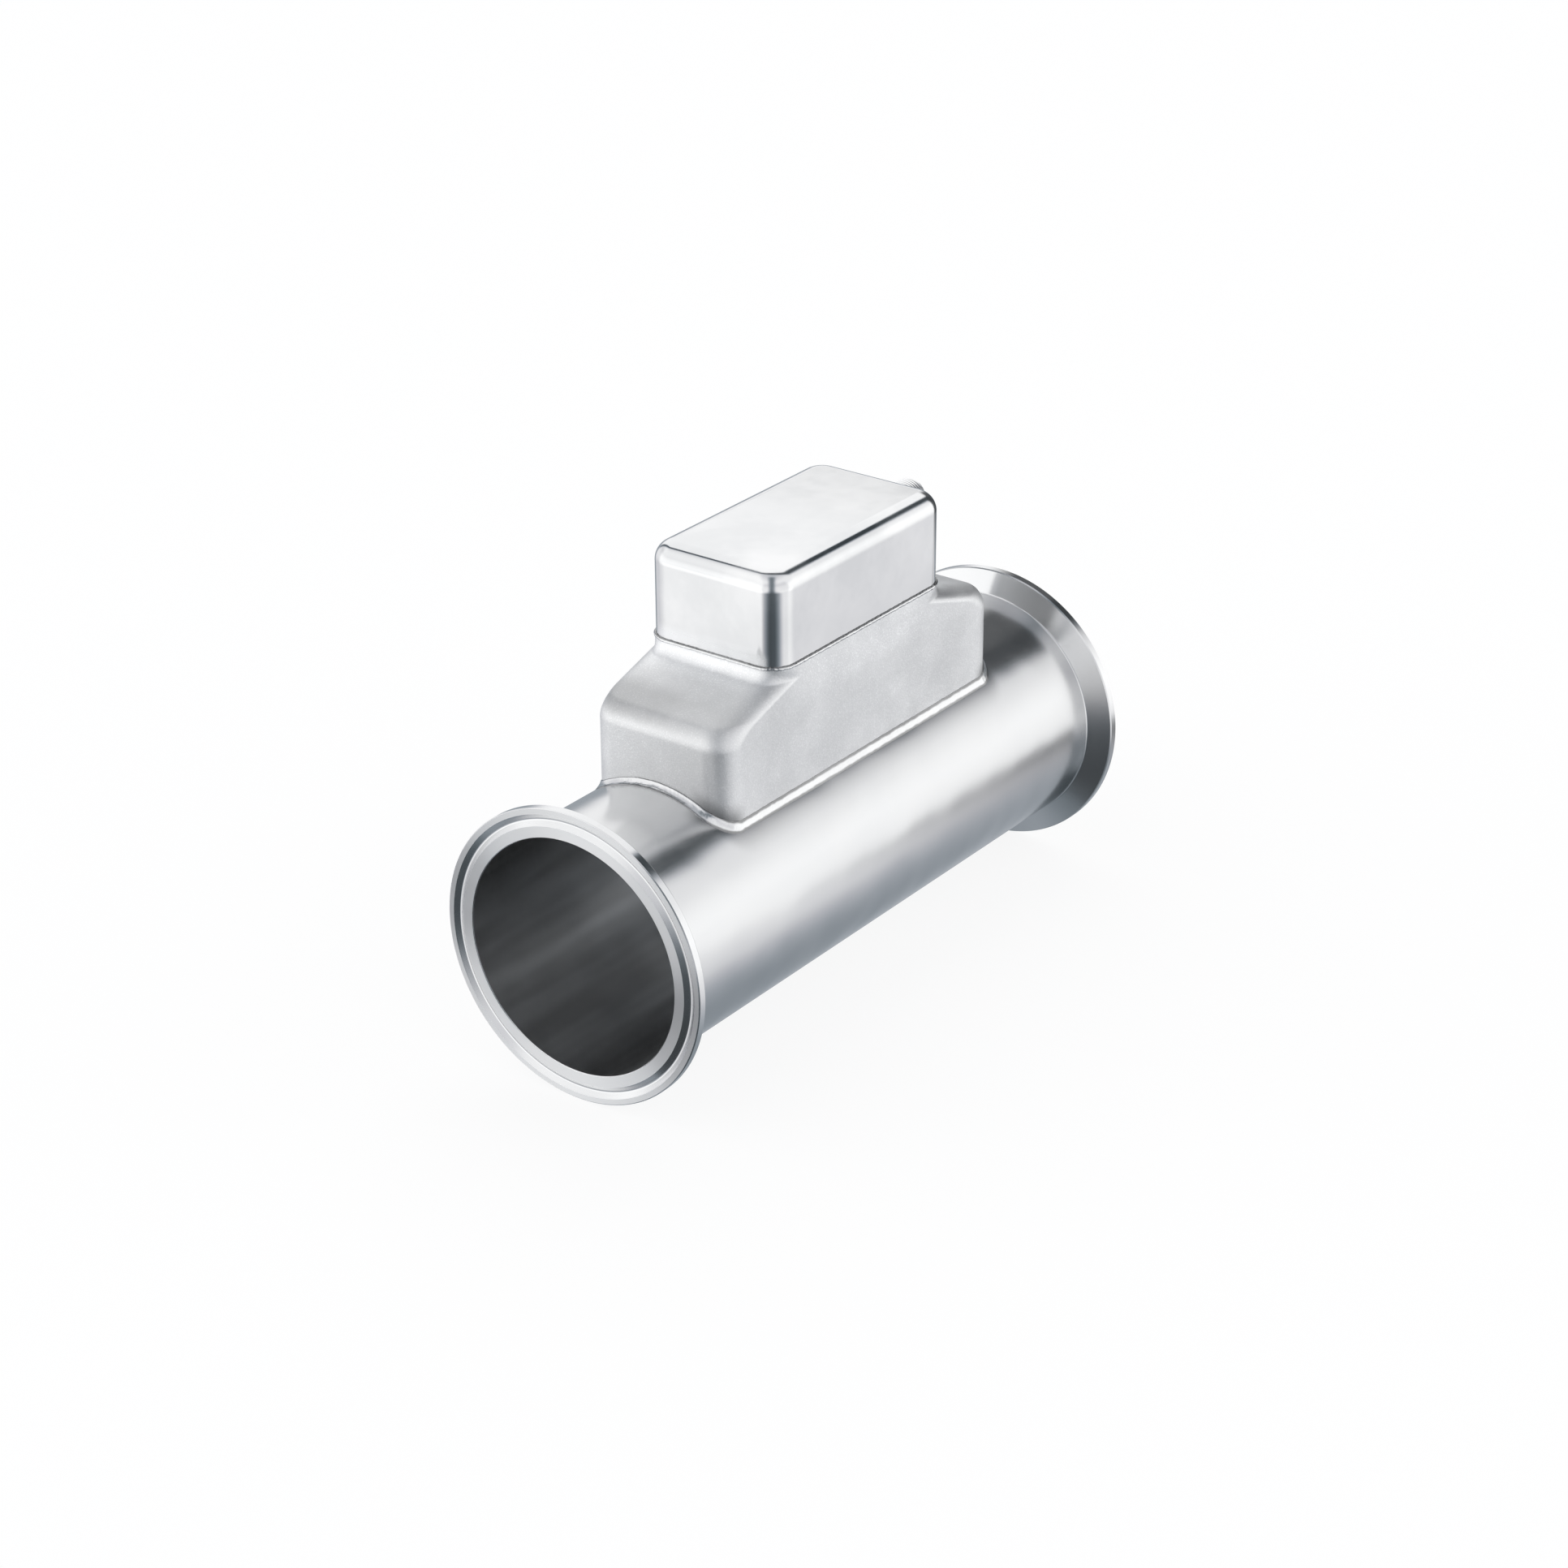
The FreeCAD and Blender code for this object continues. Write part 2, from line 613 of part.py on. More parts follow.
def board_carrier():
    """Sheet carrier between the saddle walls, with a flange down each side and holes for the leads."""
    top = CARRIER_Z - CARRIER_T
    depth = CARRIER_FLANGE + CARRIER_T
    sheet = block(2 * CARRIER_HALF, 2 * SADDLE_INSIDE, depth, 0, 0, CARRIER_Z - depth)
    bends = []
    for edge in sheet.Edges:
        if edge.BoundBox.ZMin > top and edge.BoundBox.XLength > CARRIER_HALF:
            bends.append(edge)
    sheet = sheet.makeFillet(2 * CARRIER_T, bends)
    inside_width = 2 * (SADDLE_INSIDE - CARRIER_T)
    hollow = block(2 * CARRIER_HALF + OVERCUT, inside_width, depth, 0, 0, top - depth)
    inner = []
    for edge in hollow.Edges:
        if edge.BoundBox.ZMin > top - CLEARANCE and edge.BoundBox.XLength > CARRIER_HALF:
            inner.append(edge)
    sheet = sheet.cut(hollow.makeFillet(CARRIER_T, inner))
    for x, y in socket_places():
        sheet = sheet.cut(rod_z(LEAD_HOLE_D, top - OVERCUT, CARRIER_Z + OVERCUT, x, y))
    for x, y in standoff_places():
        sheet = sheet.cut(rod_z(SPIGOT_D, top - OVERCUT, CARRIER_Z + OVERCUT, x, y))
    return sheet


def lower_standoffs():
    """Six-sided standoffs set into the carrier, bored for the studs above."""
    parts = []
    for x, y in standoff_places():
        standoff = hexagon(STANDOFF_ACROSS, Z_AXIS, LOWER_STANDOFF, Vector(x, y, CARRIER_Z))
        standoff = standoff.fuse(rod_z(SPIGOT_D, CARRIER_Z - CARRIER_T, CARRIER_Z, x, y))
        parts.append(standoff.cut(rod_z(STUD_D, FRONT_Z - STUD_LENGTH, FRONT_Z + OVERCUT, x, y)))
    return Part.makeCompound(parts)


def upper_standoffs():
    """Standoffs between the boards, with a stud below and a bore for the screw above."""
    parts = []
    for x, y in standoff_places():
        standoff = hexagon(STANDOFF_ACROSS, Z_AXIS, UPPER_STANDOFF, Vector(x, y, FRONT_TOP_Z))
        standoff = standoff.fuse(rod_z(STUD_D, FRONT_Z - STUD_LENGTH, FRONT_TOP_Z, x, y))
        parts.append(standoff.cut(rod_z(STUD_D, MAIN_Z - STUD_LENGTH, MAIN_Z + OVERCUT, x, y)))
    return Part.makeCompound(parts)


def board_screws():
    """Pan-head screws on the main board."""
    parts = []
    for x, y in standoff_places():
        head = rod_z(SCREW_HEAD_D, MAIN_TOP_Z, MAIN_TOP_Z + SCREW_HEAD_T, x, y)
        crown = [edge for edge in head.Edges if edge.BoundBox.ZMin > MAIN_TOP_Z + CLEARANCE]
        head = head.makeChamfer(SCREW_CHAMFER, crown)
        parts.append(head.fuse(rod_z(STUD_D, MAIN_Z - STUD_LENGTH, MAIN_TOP_Z, x, y)))
    return Part.makeCompound(parts)


def circuit_board(x_from, x_to, z):
    """Board with round corners and clearance holes for the studs."""
    board = block(x_to - x_from, 2 * BOARD_SIDE, BOARD_T, (x_from + x_to) / 2, 0, z)
    uprights = [edge for edge in board.Edges if edge.BoundBox.ZLength > BOARD_T / 2]
    board = board.makeFillet(BOARD_CORNER, uprights)
    for x, y in standoff_places():
        hole_d = STUD_D + 2 * HOLE_CLEARANCE
        board = board.cut(rod_z(hole_d, z - OVERCUT, z + BOARD_T + OVERCUT, x, y))
    return board


def front_end_board():
    """Lower board, as long as the neck allows."""
    return circuit_board(-BOARD_HALF, BOARD_HALF, FRONT_Z)


def main_board():
    """Upper board, shorter to leave room for the connector."""
    return circuit_board(-BOARD_HALF, MAIN_END_X, MAIN_Z)


def board_link():
    """Stacking connector between the boards."""
    return block(LINK_LENGTH, LINK_WIDTH, UPPER_STANDOFF, -BOARD_HALF + LINK_INSET, 0, FRONT_TOP_Z)


def lead_sockets():
    """Sockets under the front-end board, one for every lead."""
    parts = [block(SOCKET_LENGTH, SOCKET_WIDTH, SOCKET_HEIGHT, x, y, SOCKET_Z) for x, y in socket_places()]
    return Part.makeCompound(parts)


def lead_header():
    """Header for the connector leads on the end of the main board."""
    places = [position for y, z, position in pin_places()]
    width = (max(places) - min(places)) * HEADER_PITCH + 2 * HEADER_MARGIN
    return block(HEADER_LENGTH, width, HEADER_HEIGHT, MAIN_END_X - HEADER_LENGTH / 2, 0, MAIN_TOP_Z)


def chip(size, x, z):
    """Flat chip with a chamfered top."""
    body = block(size, size, CHIP_T, x, 0, z)
    top_edges = [edge for edge in body.Edges if edge.BoundBox.ZMin > z + CLEARANCE]
    return body.makeChamfer(CHIP_CHAMFER, top_edges)


def signal_chip():
    """Signal converter on the front-end board."""
    return chip(SIGNAL_CHIP, 0, FRONT_TOP_Z)


def processor_chip():
    """Processor on the main board."""
    return chip(PROCESSOR_CHIP, PROCESSOR_X, MAIN_TOP_Z)


def transformer():
    """Isolating transformer on the main board."""
    core = block(CORE_LENGTH, CORE_WIDTH, CORE_HEIGHT, CORE_X, CORE_Y, MAIN_TOP_Z)
    uprights = [edge for edge in core.Edges if edge.BoundBox.ZLength > CORE_HEIGHT / 2]
    return core.makeFillet(CORE_ROUND, uprights)


def capacitors():
    """Supply capacitors on the main board."""
    parts = []
    for x, y in ((CAN_X, CAN_Y), (CAN_X, -CAN_Y), (CORE_X, -CAN_Y)):
        can = rod_z(CAN_D, MAIN_TOP_Z, MAIN_TOP_Z + CAN_HEIGHT, x, y)
        crown = [edge for edge in can.Edges if edge.BoundBox.ZMin > MAIN_TOP_Z + CLEARANCE]
        parts.append(can.makeChamfer(CAN_CHAMFER, crown))
    return Part.makeCompound(parts)


def assembly():
    """Every piece by name."""
    makers = (
        measuring_tube, inlet_ferrule, outlet_ferrule, saddle_housing, saddle_weld, housing_cap, cap_weld,
        connector_shell, connector_seal, connector_nut, connector_insert, contact_pins, connector_leads,
        temperature_block, temperature_element, temperature_lead, board_carrier, lower_standoffs,
        front_end_board, upper_standoffs, main_board, board_screws, board_link, lead_sockets, lead_header,
        signal_chip, processor_chip, transformer, capacitors,
    )
    for maker in makers:
        yield maker.__name__, maker()
    for name, x, degrees in transducer_places():
        yield "piezo_plate_" + name, piezo_plate(x, degrees)
        yield "transducer_holder_" + name, transducer_holder(x, degrees)
        yield "transducer_lead_" + name, transducer_lead(x, degrees)


os.makedirs("parts", exist_ok=True)
for node, shape in assembly():
    shape.exportStep("parts/" + node + ".step")
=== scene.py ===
import json
import math

import bmesh
import bpy
from mathutils import Matrix, Vector


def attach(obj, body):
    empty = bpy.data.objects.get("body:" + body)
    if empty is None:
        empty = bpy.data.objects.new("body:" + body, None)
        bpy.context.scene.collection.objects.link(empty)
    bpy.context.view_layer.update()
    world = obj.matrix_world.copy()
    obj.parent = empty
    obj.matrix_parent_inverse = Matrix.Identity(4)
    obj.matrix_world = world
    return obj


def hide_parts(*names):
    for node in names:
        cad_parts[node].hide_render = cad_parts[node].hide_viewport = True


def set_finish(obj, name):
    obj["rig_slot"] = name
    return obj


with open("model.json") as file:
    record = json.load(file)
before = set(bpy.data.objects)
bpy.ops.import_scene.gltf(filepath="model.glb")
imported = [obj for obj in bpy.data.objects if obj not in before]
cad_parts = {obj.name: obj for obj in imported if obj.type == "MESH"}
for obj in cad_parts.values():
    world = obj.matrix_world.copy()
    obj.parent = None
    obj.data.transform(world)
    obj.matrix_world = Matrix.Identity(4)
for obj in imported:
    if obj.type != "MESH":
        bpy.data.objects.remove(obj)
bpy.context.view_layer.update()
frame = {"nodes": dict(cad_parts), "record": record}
nodes = frame["nodes"]

# Sizes of the object, in metres, as in the solids.
MM = 0.001
TUBE_R = 38.1 * MM
BORE_R = 36.45 * MM
END_X = 109.0 * MM
TUBE_END_X = 96.3 * MM
RIM_R = 45.5 * MM
RIM_T = 2.85 * MM
RIM_CHAMFER = 0.3 * MM
BEVEL_SLOPE = math.tan(math.radians(20.0))
HUB_ROUND = 0.6 * MM
GROOVE_CENTRE_R = 41.8 * MM
GROOVE_HALF = 1.8 * MM
GROOVE_WALL = math.radians(36.0)
GROOVE_ROOT_R = 0.7 * MM
LIP = 0.25 * MM

SADDLE_FOOT_Z = 20.0 * MM
SADDLE_HALF = 69.0 * MM
SADDLE_SIDE = 24.4 * MM
SADDLE_CORNER = 8.4 * MM
SADDLE_WALL = 1.5 * MM
NECK_HALF = 42.9 * MM
SHOULDER_Z = 58.5 * MM
SHOULDER = math.radians(17.0)
SHOULDER_ROUND = 7.0 * MM
SHOULDER_EDGE_DROP = 4.2 * MM
NECK_ROUND = 4.5 * MM
REACH = SADDLE_HALF - NECK_HALF
NECK_Z = SHOULDER_Z + REACH * math.tan(SHOULDER)
SEAM_Z = NECK_Z + 3.5 * MM
SHOULDER_TURN = math.pi / 2 - SHOULDER
SHOULDER_STRETCH = SHOULDER_EDGE_DROP / math.tan(SHOULDER) / SADDLE_CORNER

BEAD_RISE = 1.7 * MM
BEAD_FOOT_RISE = 0.15 * MM
BEAD_SIDE_REACH = 1.3 * MM
BEAD_END_REACH = 2.4 * MM
BEAD_TOP_SHARE = 0.14
BEAD_HOLLOW = 1.8
BEAD_STEPS = 7
BEAD_SEAT = 0.4 * MM
BEAD_BLOCK = 25.0 * MM
BEAD_INSIDE_Z = 19.0 * MM
BEAD_INSIDE_BLOCK = 30.0 * MM

CAP_HALF = 42.5 * MM
CAP_SIDE = 24.0 * MM
CAP_CORNER = 8.0 * MM
CAP_TOP_ROUND = 6.0 * MM
CAP_WALL = 1.2 * MM
CAP_FOOT_ROUND = 0.35 * MM
CAP_TOP_Z = SEAM_Z + 29.1 * MM

CONNECTOR_Z = CAP_TOP_Z - 13.0 * MM
SHANK_R = 5.4 * MM
SHANK_END_X = 35.3 * MM
FLANGE_X = 43.5 * MM
FLANGE_R = 6.8 * MM
THREAD_X = 46.0 * MM
THREAD_R = 6.0 * MM
THREAD_ROOT_R = 5.45 * MM
THREAD_PITCH = 1.0 * MM
THREAD_TURNS = 15
THREAD_SINK = 0.1 * MM
THREAD_START = 0.3 * MM
THREAD_TRIM = 0.55 * MM
THREAD_FOOT_HALF = 0.45 * THREAD_PITCH
THREAD_CREST_SHARE = 0.16
CONNECTOR_END_X = 59.0 * MM
CONNECTOR_CHAMFER = 0.5 * MM
SOCKET_R = 4.5 * MM

# Fineness of the rounds.
RING_STEPS = 192
CORNER_STEPS = 26
ROUND_STEPS = 18
GROOVE_STEPS = 8
FOOT_STEPS = 4
THREAD_STEPS = 48
MELT_PASSES = 6
TINY = 1e-6


# Modelling steps.
def rest_tools():
    """Leave edit mode with nothing selected."""
    if bpy.context.mode != "OBJECT":
        bpy.ops.object.mode_set(mode="OBJECT")
    bpy.ops.object.select_all(action="DESELECT")


def take(piece):
    """Make one piece the only selected and active one."""
    rest_tools()
    piece.select_set(True)
    bpy.context.view_layer.objects.active = piece


def new_piece(name):
    """Name the primitive that was just added and put its place into its mesh."""
    piece = bpy.context.object
    piece.name = name
    piece.data.name = name
    bpy.ops.object.transform_apply(location=True, rotation=True, scale=True)
    return piece


def open_mesh(piece):
    """Edit a piece with all of it selected."""
    take(piece)
    bpy.ops.object.mode_set(mode="EDIT")
    bpy.ops.mesh.select_mode(type="VERT")
    bpy.ops.mesh.select_all(action="SELECT")


def pick(piece, kind, test):
    """Select the vertices, edges or faces of the piece in edit mode that pass the test."""
    bpy.ops.mesh.select_mode(type=kind)
    mesh = bmesh.from_edit_mesh(piece.data)
    for part in (*mesh.verts, *mesh.edges, *mesh.faces):
        part.select = False
    group = {"VERT": mesh.verts, "EDGE": mesh.edges, "FACE": mesh.faces}[kind]
    for part in group:
        if test(part):
            part.select_set(True)
    mesh.select_flush_mode()
    bmesh.update_edit_mesh(piece.data)


def middle(edge):
    """Point halfway along an edge."""
    return (edge.verts[0].co + edge.verts[1].co) / 2


def close_mesh(piece, merge=TINY):
    """Merge doubles, turn the faces outward and leave edit mode."""
    bpy.ops.mesh.select_all(action="SELECT")
    bpy.ops.mesh.remove_doubles(threshold=merge)
    bpy.ops.mesh.normals_make_consistent(inside=False)
    rest_tools()
    return piece


def apply_modifier(piece, kind, **values):
    """Add a modifier with these values and apply it."""
    take(piece)
    modifier = piece.modifiers.new(kind.lower(), kind)
    for name, value in values.items():
        setattr(modifier, name, value)
    bpy.ops.object.modifier_apply(modifier=modifier.name)


def smooth(piece, degrees=30.0):
    """Smooth shading with sharp edges kept and flat walls left flat."""
    take(piece)
    bpy.ops.object.shade_smooth_by_angle(angle=math.radians(degrees))
    apply_modifier(piece, "WEIGHTED_NORMAL", mode="FACE_AREA", keep_sharp=True)


def seat(piece, slot, *stands_for):
    """Let the piece ride on the body and stand for its solids."""
    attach(piece, "root")
    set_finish(piece, slot)
    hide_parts(*stands_for)


def arc(centre_x, centre_r, radius, start, end, steps):
    """Points (x, r) of an arc; the angles run from +x toward larger r, in degrees."""
    points = []
    for step in range(steps + 1):
        turn = math.radians(start + (end - start) * step / steps)
        points.append((centre_x + radius * math.cos(turn), centre_r + radius * math.sin(turn)))
    return points


def turned_piece(name, profile, axis_z=0.0, steps=RING_STEPS):
    """Ring extruded from place to place of a closed (x, r) profile."""
    rest_tools()
    x, r = profile[0]
    bpy.ops.mesh.primitive_circle_add(
        vertices=steps, radius=r, location=(x, 0, axis_z), rotation=(0, math.pi / 2, 0))
    piece = new_piece(name)
    open_mesh(piece)
    for next_x, next_r in profile[1:] + profile[:1]:
        bpy.ops.mesh.extrude_region_move(TRANSFORM_OT_translate={"value": (next_x - x, 0, 0)})
        grow = next_r / r
        bpy.ops.transform.resize(value=(1, grow, grow), center_override=(0, 0, axis_z))
        x, r = next_x, next_r
    return close_mesh(piece)


def rounded_plate(name, half_length, half_width, corner, z):
    """Flat plate with round corners, open in edit mode."""
    rest_tools()
    bpy.ops.mesh.primitive_plane_add(size=2, location=(0, 0, z))
    bpy.context.object.scale = (half_length, half_width, 1)
    piece = new_piece(name)
    open_mesh(piece)
    bpy.ops.mesh.bevel(offset=corner, segments=CORNER_STEPS, affect="VERTICES", clamp_overlap=False)
    return piece


def rounded_block(name, half_length, half_width, corner, bottom, height):
    """Block with round upright corners."""
    block = rounded_plate(name, half_length, half_width, corner, bottom)
    bpy.ops.mesh.extrude_region_move(TRANSFORM_OT_translate={"value": (0, 0, height)})
    return close_mesh(block)


def round_bar(name, radius, x_from, x_to, z):
    """Round bar along the tube, to cut or trim with."""
    rest_tools()
    bpy.ops.mesh.primitive_cylinder_add(
        vertices=RING_STEPS, radius=radius, depth=x_to - x_from,
        location=((x_from + x_to) / 2, 0, z), rotation=(0, math.pi / 2, 0))
    return new_piece(name)


def cut(piece, cutter):
    """Take the cutter out of the piece."""
    apply_modifier(piece, "BOOLEAN", object=cutter, operation="DIFFERENCE", solver="EXACT")
    bpy.data.objects.remove(cutter)


def keep(piece, limit):
    """Keep what the piece and the limit have in common."""
    apply_modifier(piece, "BOOLEAN", object=limit, operation="INTERSECT", solver="EXACT")
    bpy.data.objects.remove(limit)


def join(piece, addition):
    """Make the addition one with the piece."""
    apply_modifier(piece, "BOOLEAN", object=addition, operation="UNION", solver="EXACT")
    bpy.data.objects.remove(addition)


# Finishes.
def node(tree, kind, inputs=None, **settings):
    """Node with its settings, and with each input linked or set."""
    made = tree.nodes.new(kind)
    for name, value in settings.items():
        setattr(made, name, value)
    for name, value in (inputs or {}).items():
        if isinstance(value, bpy.types.NodeSocket):
            tree.links.new(value, made.inputs[name])
        else:
            made.inputs[name].default_value = value
    return made


def maths(tree, operation, *values):
    """Result of one step of arithmetic."""
    return node(tree, "ShaderNodeMath", dict(enumerate(values)), operation=operation).outputs[0]


def spread(tree, value, low, high, to_low, to_high):
    """Value taken from one range to another, smooth at both ends."""
    return node(tree, "ShaderNodeMapRange", {
        "Value": value, "From Min": low, "From Max": high, "To Min": to_low, "To Max": to_high,
    }, interpolation_type="SMOOTHSTEP").outputs["Result"]


def noise(tree, vector, scale, detail, roughness=0.5):
    """Soft noise at a scale."""
    return node(tree, "ShaderNodeTexNoise", {
        "Vector": vector, "Scale": scale, "Detail": detail, "Roughness": roughness}).outputs["Fac"]


def blend(tree, factor, first, second):
    """Colour between two colours."""
    return node(tree, "ShaderNodeMix", {0: factor, 6: first, 7: second}, data_type="RGBA").outputs[2]


def weighed(tree, first, second, share):
    """Mix of two values, with this share of the second."""
    rest = maths(tree, "MULTIPLY", first, 1 - share)
    return maths(tree, "ADD", rest, maths(tree, "MULTIPLY", second, share))


def mask(tree, value, begins, full):
    """Nothing up to where it begins, one from where it is full, and smooth between."""
    return spread(tree, value, begins, full, 0.0, 1.0)


def overlap(tree, *masks):
    """One where all the masks are one."""
    result = masks[0]
    for other in masks[1:]:
        result = maths(tree, "MULTIPLY", result, other)
    return result


def axes(tree, place):
    """The x, y and z of a place."""
    return node(tree, "ShaderNodeSeparateXYZ", {0: place}).outputs


def stretched(tree, place, share):
    """Place squeezed along the tube, which stretches a texture there."""
    return node(tree, "ShaderNodeMapping", {"Vector": place, "Scale": (share, 1, 1)}).outputs[0]


def off_axis(tree, place, axis_z=0.0):
    """Distance from the tube axis, or from a line along it at another height."""
    flat = node(tree, "ShaderNodeMapping", {
        "Vector": place, "Location": (0, 0, -axis_z), "Scale": (0, 1, 1)}).outputs[0]
    return node(tree, "ShaderNodeVectorMath", {0: flat}, operation="LENGTH").outputs["Value"]


def off_saddle(tree, place):
    """Distance from the upright walls of the saddle."""
    x, y, _ = axes(tree, place)
    squares = []
    for value, straight in ((x, SADDLE_HALF - SADDLE_CORNER), (y, SADDLE_SIDE - SADDLE_CORNER)):
        past = maths(tree, "SUBTRACT", maths(tree, "ABSOLUTE", value), straight)
        past = maths(tree, "MAXIMUM", past, 0.0)
        squares.append(maths(tree, "MULTIPLY", past, past))
    return maths(tree, "SUBTRACT", maths(tree, "SQRT", maths(tree, "ADD", *squares)), SADDLE_CORNER)


def effect(name, numbers, results, build):
    """Shader group that reads a place on the piece and some numbers and puts out values."""
    group = bpy.data.node_groups.new(name, "ShaderNodeTree")
    group.interface.new_socket("Place", in_out="INPUT", socket_type="NodeSocketVector")
    for number in numbers:
        group.interface.new_socket(number, in_out="INPUT", socket_type="NodeSocketFloat")
    for result in results:
        group.interface.new_socket(result, in_out="OUTPUT", socket_type="NodeSocketFloat")
    source = group.nodes.new("NodeGroupInput")
    values = build(group, source.outputs)
    sink = group.nodes.new("NodeGroupOutput")
    for result, value in zip(results, values):
        group.links.new(value, sink.inputs[result])
    return group


# Shapes of the textures.
COARSE_SCALE = 0.37
COARSE_SHARE = 0.35
FLECKS = (0.56, 0.72)
LINE_STRETCH = 0.02
STREAK_STRETCH = 0.12
STREAKS_SEEN = (0.34, 0.66)
MARKS_SEEN = (0.35, 0.65)

# Where the shades begin and where they are full. They mark painted shade and light in the bore, painted shade
# in the thread's roots, on the saddle's shoulders and lower corners and in the welds' creases, painted light
# on the saddle's neck and near side and on the cap's foot, and a darker band on the tube beside the weld.
BORE_SHADE = (BORE_R + 0.1 * MM, BORE_R + 0.02 * MM)
ROOT_SHADE = (THREAD_R - 0.1 * MM, THREAD_ROOT_R + 0.1 * MM)
SLOPE_OFF = (3.5 * MM, 0.8 * MM)
SLOPE_OUT = (51 * MM, 60 * MM)
SLOPE_ACROSS = (-14 * MM, 16 * MM)
SLOPE_LEAST = 0.42
NECK_IN = (SADDLE_SIDE - 1 * MM, SADDLE_SIDE - 6 * MM)
NECK_OUT = (52 * MM, 46 * MM)
SIDE_OUT = (-SADDLE_SIDE + 1 * MM, -SADDLE_SIDE + 0.3 * MM)
SIDE_ALONG = (-45 * MM, 5 * MM)
CORNER_SHADE_RISE = (TUBE_R + 7 * MM, TUBE_R + 1 * MM)
CORNER_SHADE_END = (58 * MM, 64 * MM)
CORNER_SHADE_SIDE = (-11 * MM, -18 * MM)
DARKER_BAND_OFF = (6.5 * MM, 1.5 * MM)
DARKER_BAND_ALONG = (SADDLE_HALF + 2 * MM, SADDLE_HALF - 3 * MM)
DARKER_BAND_RISE = (0.0, 10 * MM)
CREASE_TUBE = (TUBE_R + 0.45 * MM, TUBE_R + 0.2 * MM)
CREASE_WALL = (0.4 * MM, 0.2 * MM)
CREASE_BELOW = (NECK_Z, NECK_Z - 1 * MM)
CREASE_CAP = (SEAM_Z + 0.2 * MM, SEAM_Z + 0.5 * MM)
FOOT_LOW = (SEAM_Z + 6 * MM, SEAM_Z + 2 * MM)
FOOT_END = (CAP_HALF - 1.5 * MM, CAP_HALF - 0.3 * MM)


def build_grain(tree, given):
    """Pits and bright points of a blasted surface."""
    fine = noise(tree, given["Place"], given["Scale"], detail=1.0)
    coarser = maths(tree, "MULTIPLY", given["Scale"], COARSE_SCALE)
    coarse = noise(tree, given["Place"], coarser, detail=2.0)
    return weighed(tree, fine, coarse, COARSE_SHARE), mask(tree, fine, *FLECKS)


def build_lines(tree, given):
    """Fine lines that run along the tube."""
    drawn = stretched(tree, given["Place"], LINE_STRETCH)
    return (noise(tree, drawn, given["Scale"], detail=3.0, roughness=0.6),)


def build_rings(tree, given):
    """Fine rings left by turning about the tube axis."""
    reach = maths(tree, "ADD", off_axis(tree, given["Place"]), axes(tree, given["Place"])[0])
    rings = node(tree, "ShaderNodeTexNoise", {
        "W": maths(tree, "MULTIPLY", reach, given["Scale"]), "Scale": 1.0, "Detail": 3.0,
    }, noise_dimensions="1D")
    return (rings.outputs["Fac"],)


def build_marks(tree, given):
    """Broad, faint patches where the surface was handled and wiped."""
    broad = noise(tree, given["Place"], given["Scale"], detail=4.0, roughness=0.6)
    return (mask(tree, broad, *MARKS_SEEN),)


def build_streaks(tree, given):
    """Soft streaks that run along the tube."""
    drawn = stretched(tree, given["Place"], STREAK_STRETCH)
    soft = noise(tree, drawn, given["Scale"], detail=2.0, roughness=0.55)
    return (mask(tree, soft, *STREAKS_SEEN),)


def build_waves(tree, given):
    """Broad swells of drawn sheet."""
    return (noise(tree, given["Place"], given["Scale"], detail=1.0),)


def build_bore(tree, given):
    """One inside the tube and nothing outside it."""
    return (mask(tree, off_axis(tree, given["Place"]), *BORE_SHADE),)


def build_thread_root_painted_shade(tree, given):
    """One in the roots of the connector's thread, where shade is painted, and nothing on its crests."""
    return (mask(tree, off_axis(tree, given["Place"], CONNECTOR_Z), *ROOT_SHADE),)


def build_saddle_painted_shade_and_light(tree, given):
    """Masks of painted shade on the saddle's shoulders, weaker toward the near side, and of painted light on
    its neck and on the far half of its near side.
    """
    x, y, z = axes(tree, given["Place"])
    out = maths(tree, "ABSOLUTE", x)
    slope = maths(tree, "MULTIPLY", maths(tree, "SUBTRACT", SADDLE_HALF, out), math.tan(SHOULDER))
    off = maths(tree, "ABSOLUTE", maths(tree, "SUBTRACT", z, maths(tree, "ADD", slope, SHOULDER_Z)))
    painted_shoulder_shade = overlap(
        tree, mask(tree, off, *SLOPE_OFF), spread(tree, y, *SLOPE_ACROSS, SLOPE_LEAST, 1.0),
        mask(tree, out, *SLOPE_OUT))
    neck = overlap(tree, mask(tree, maths(tree, "ABSOLUTE", y), *NECK_IN), mask(tree, out, *NECK_OUT))
    side = overlap(tree, mask(tree, y, *SIDE_OUT), mask(tree, x, *SIDE_ALONG))
    return painted_shoulder_shade, neck, side


def build_corner_painted_shade(tree, given):
    """One at the two lower corners of the saddle's near side, close to the weld, where shade is painted."""
    x, y, _ = axes(tree, given["Place"])
    return (overlap(
        tree, mask(tree, off_axis(tree, given["Place"]), *CORNER_SHADE_RISE),
        mask(tree, maths(tree, "ABSOLUTE", x), *CORNER_SHADE_END), mask(tree, y, *CORNER_SHADE_SIDE)),)


def build_beside(tree, given):
    """One on the tube along the long sides of the saddle's weld, where the tube is made darker."""
    x, _, z = axes(tree, given["Place"])
    return (overlap(
        tree, mask(tree, off_saddle(tree, given["Place"]), *DARKER_BAND_OFF),
        mask(tree, maths(tree, "ABSOLUTE", x), *DARKER_BAND_ALONG), mask(tree, z, *DARKER_BAND_RISE)),)


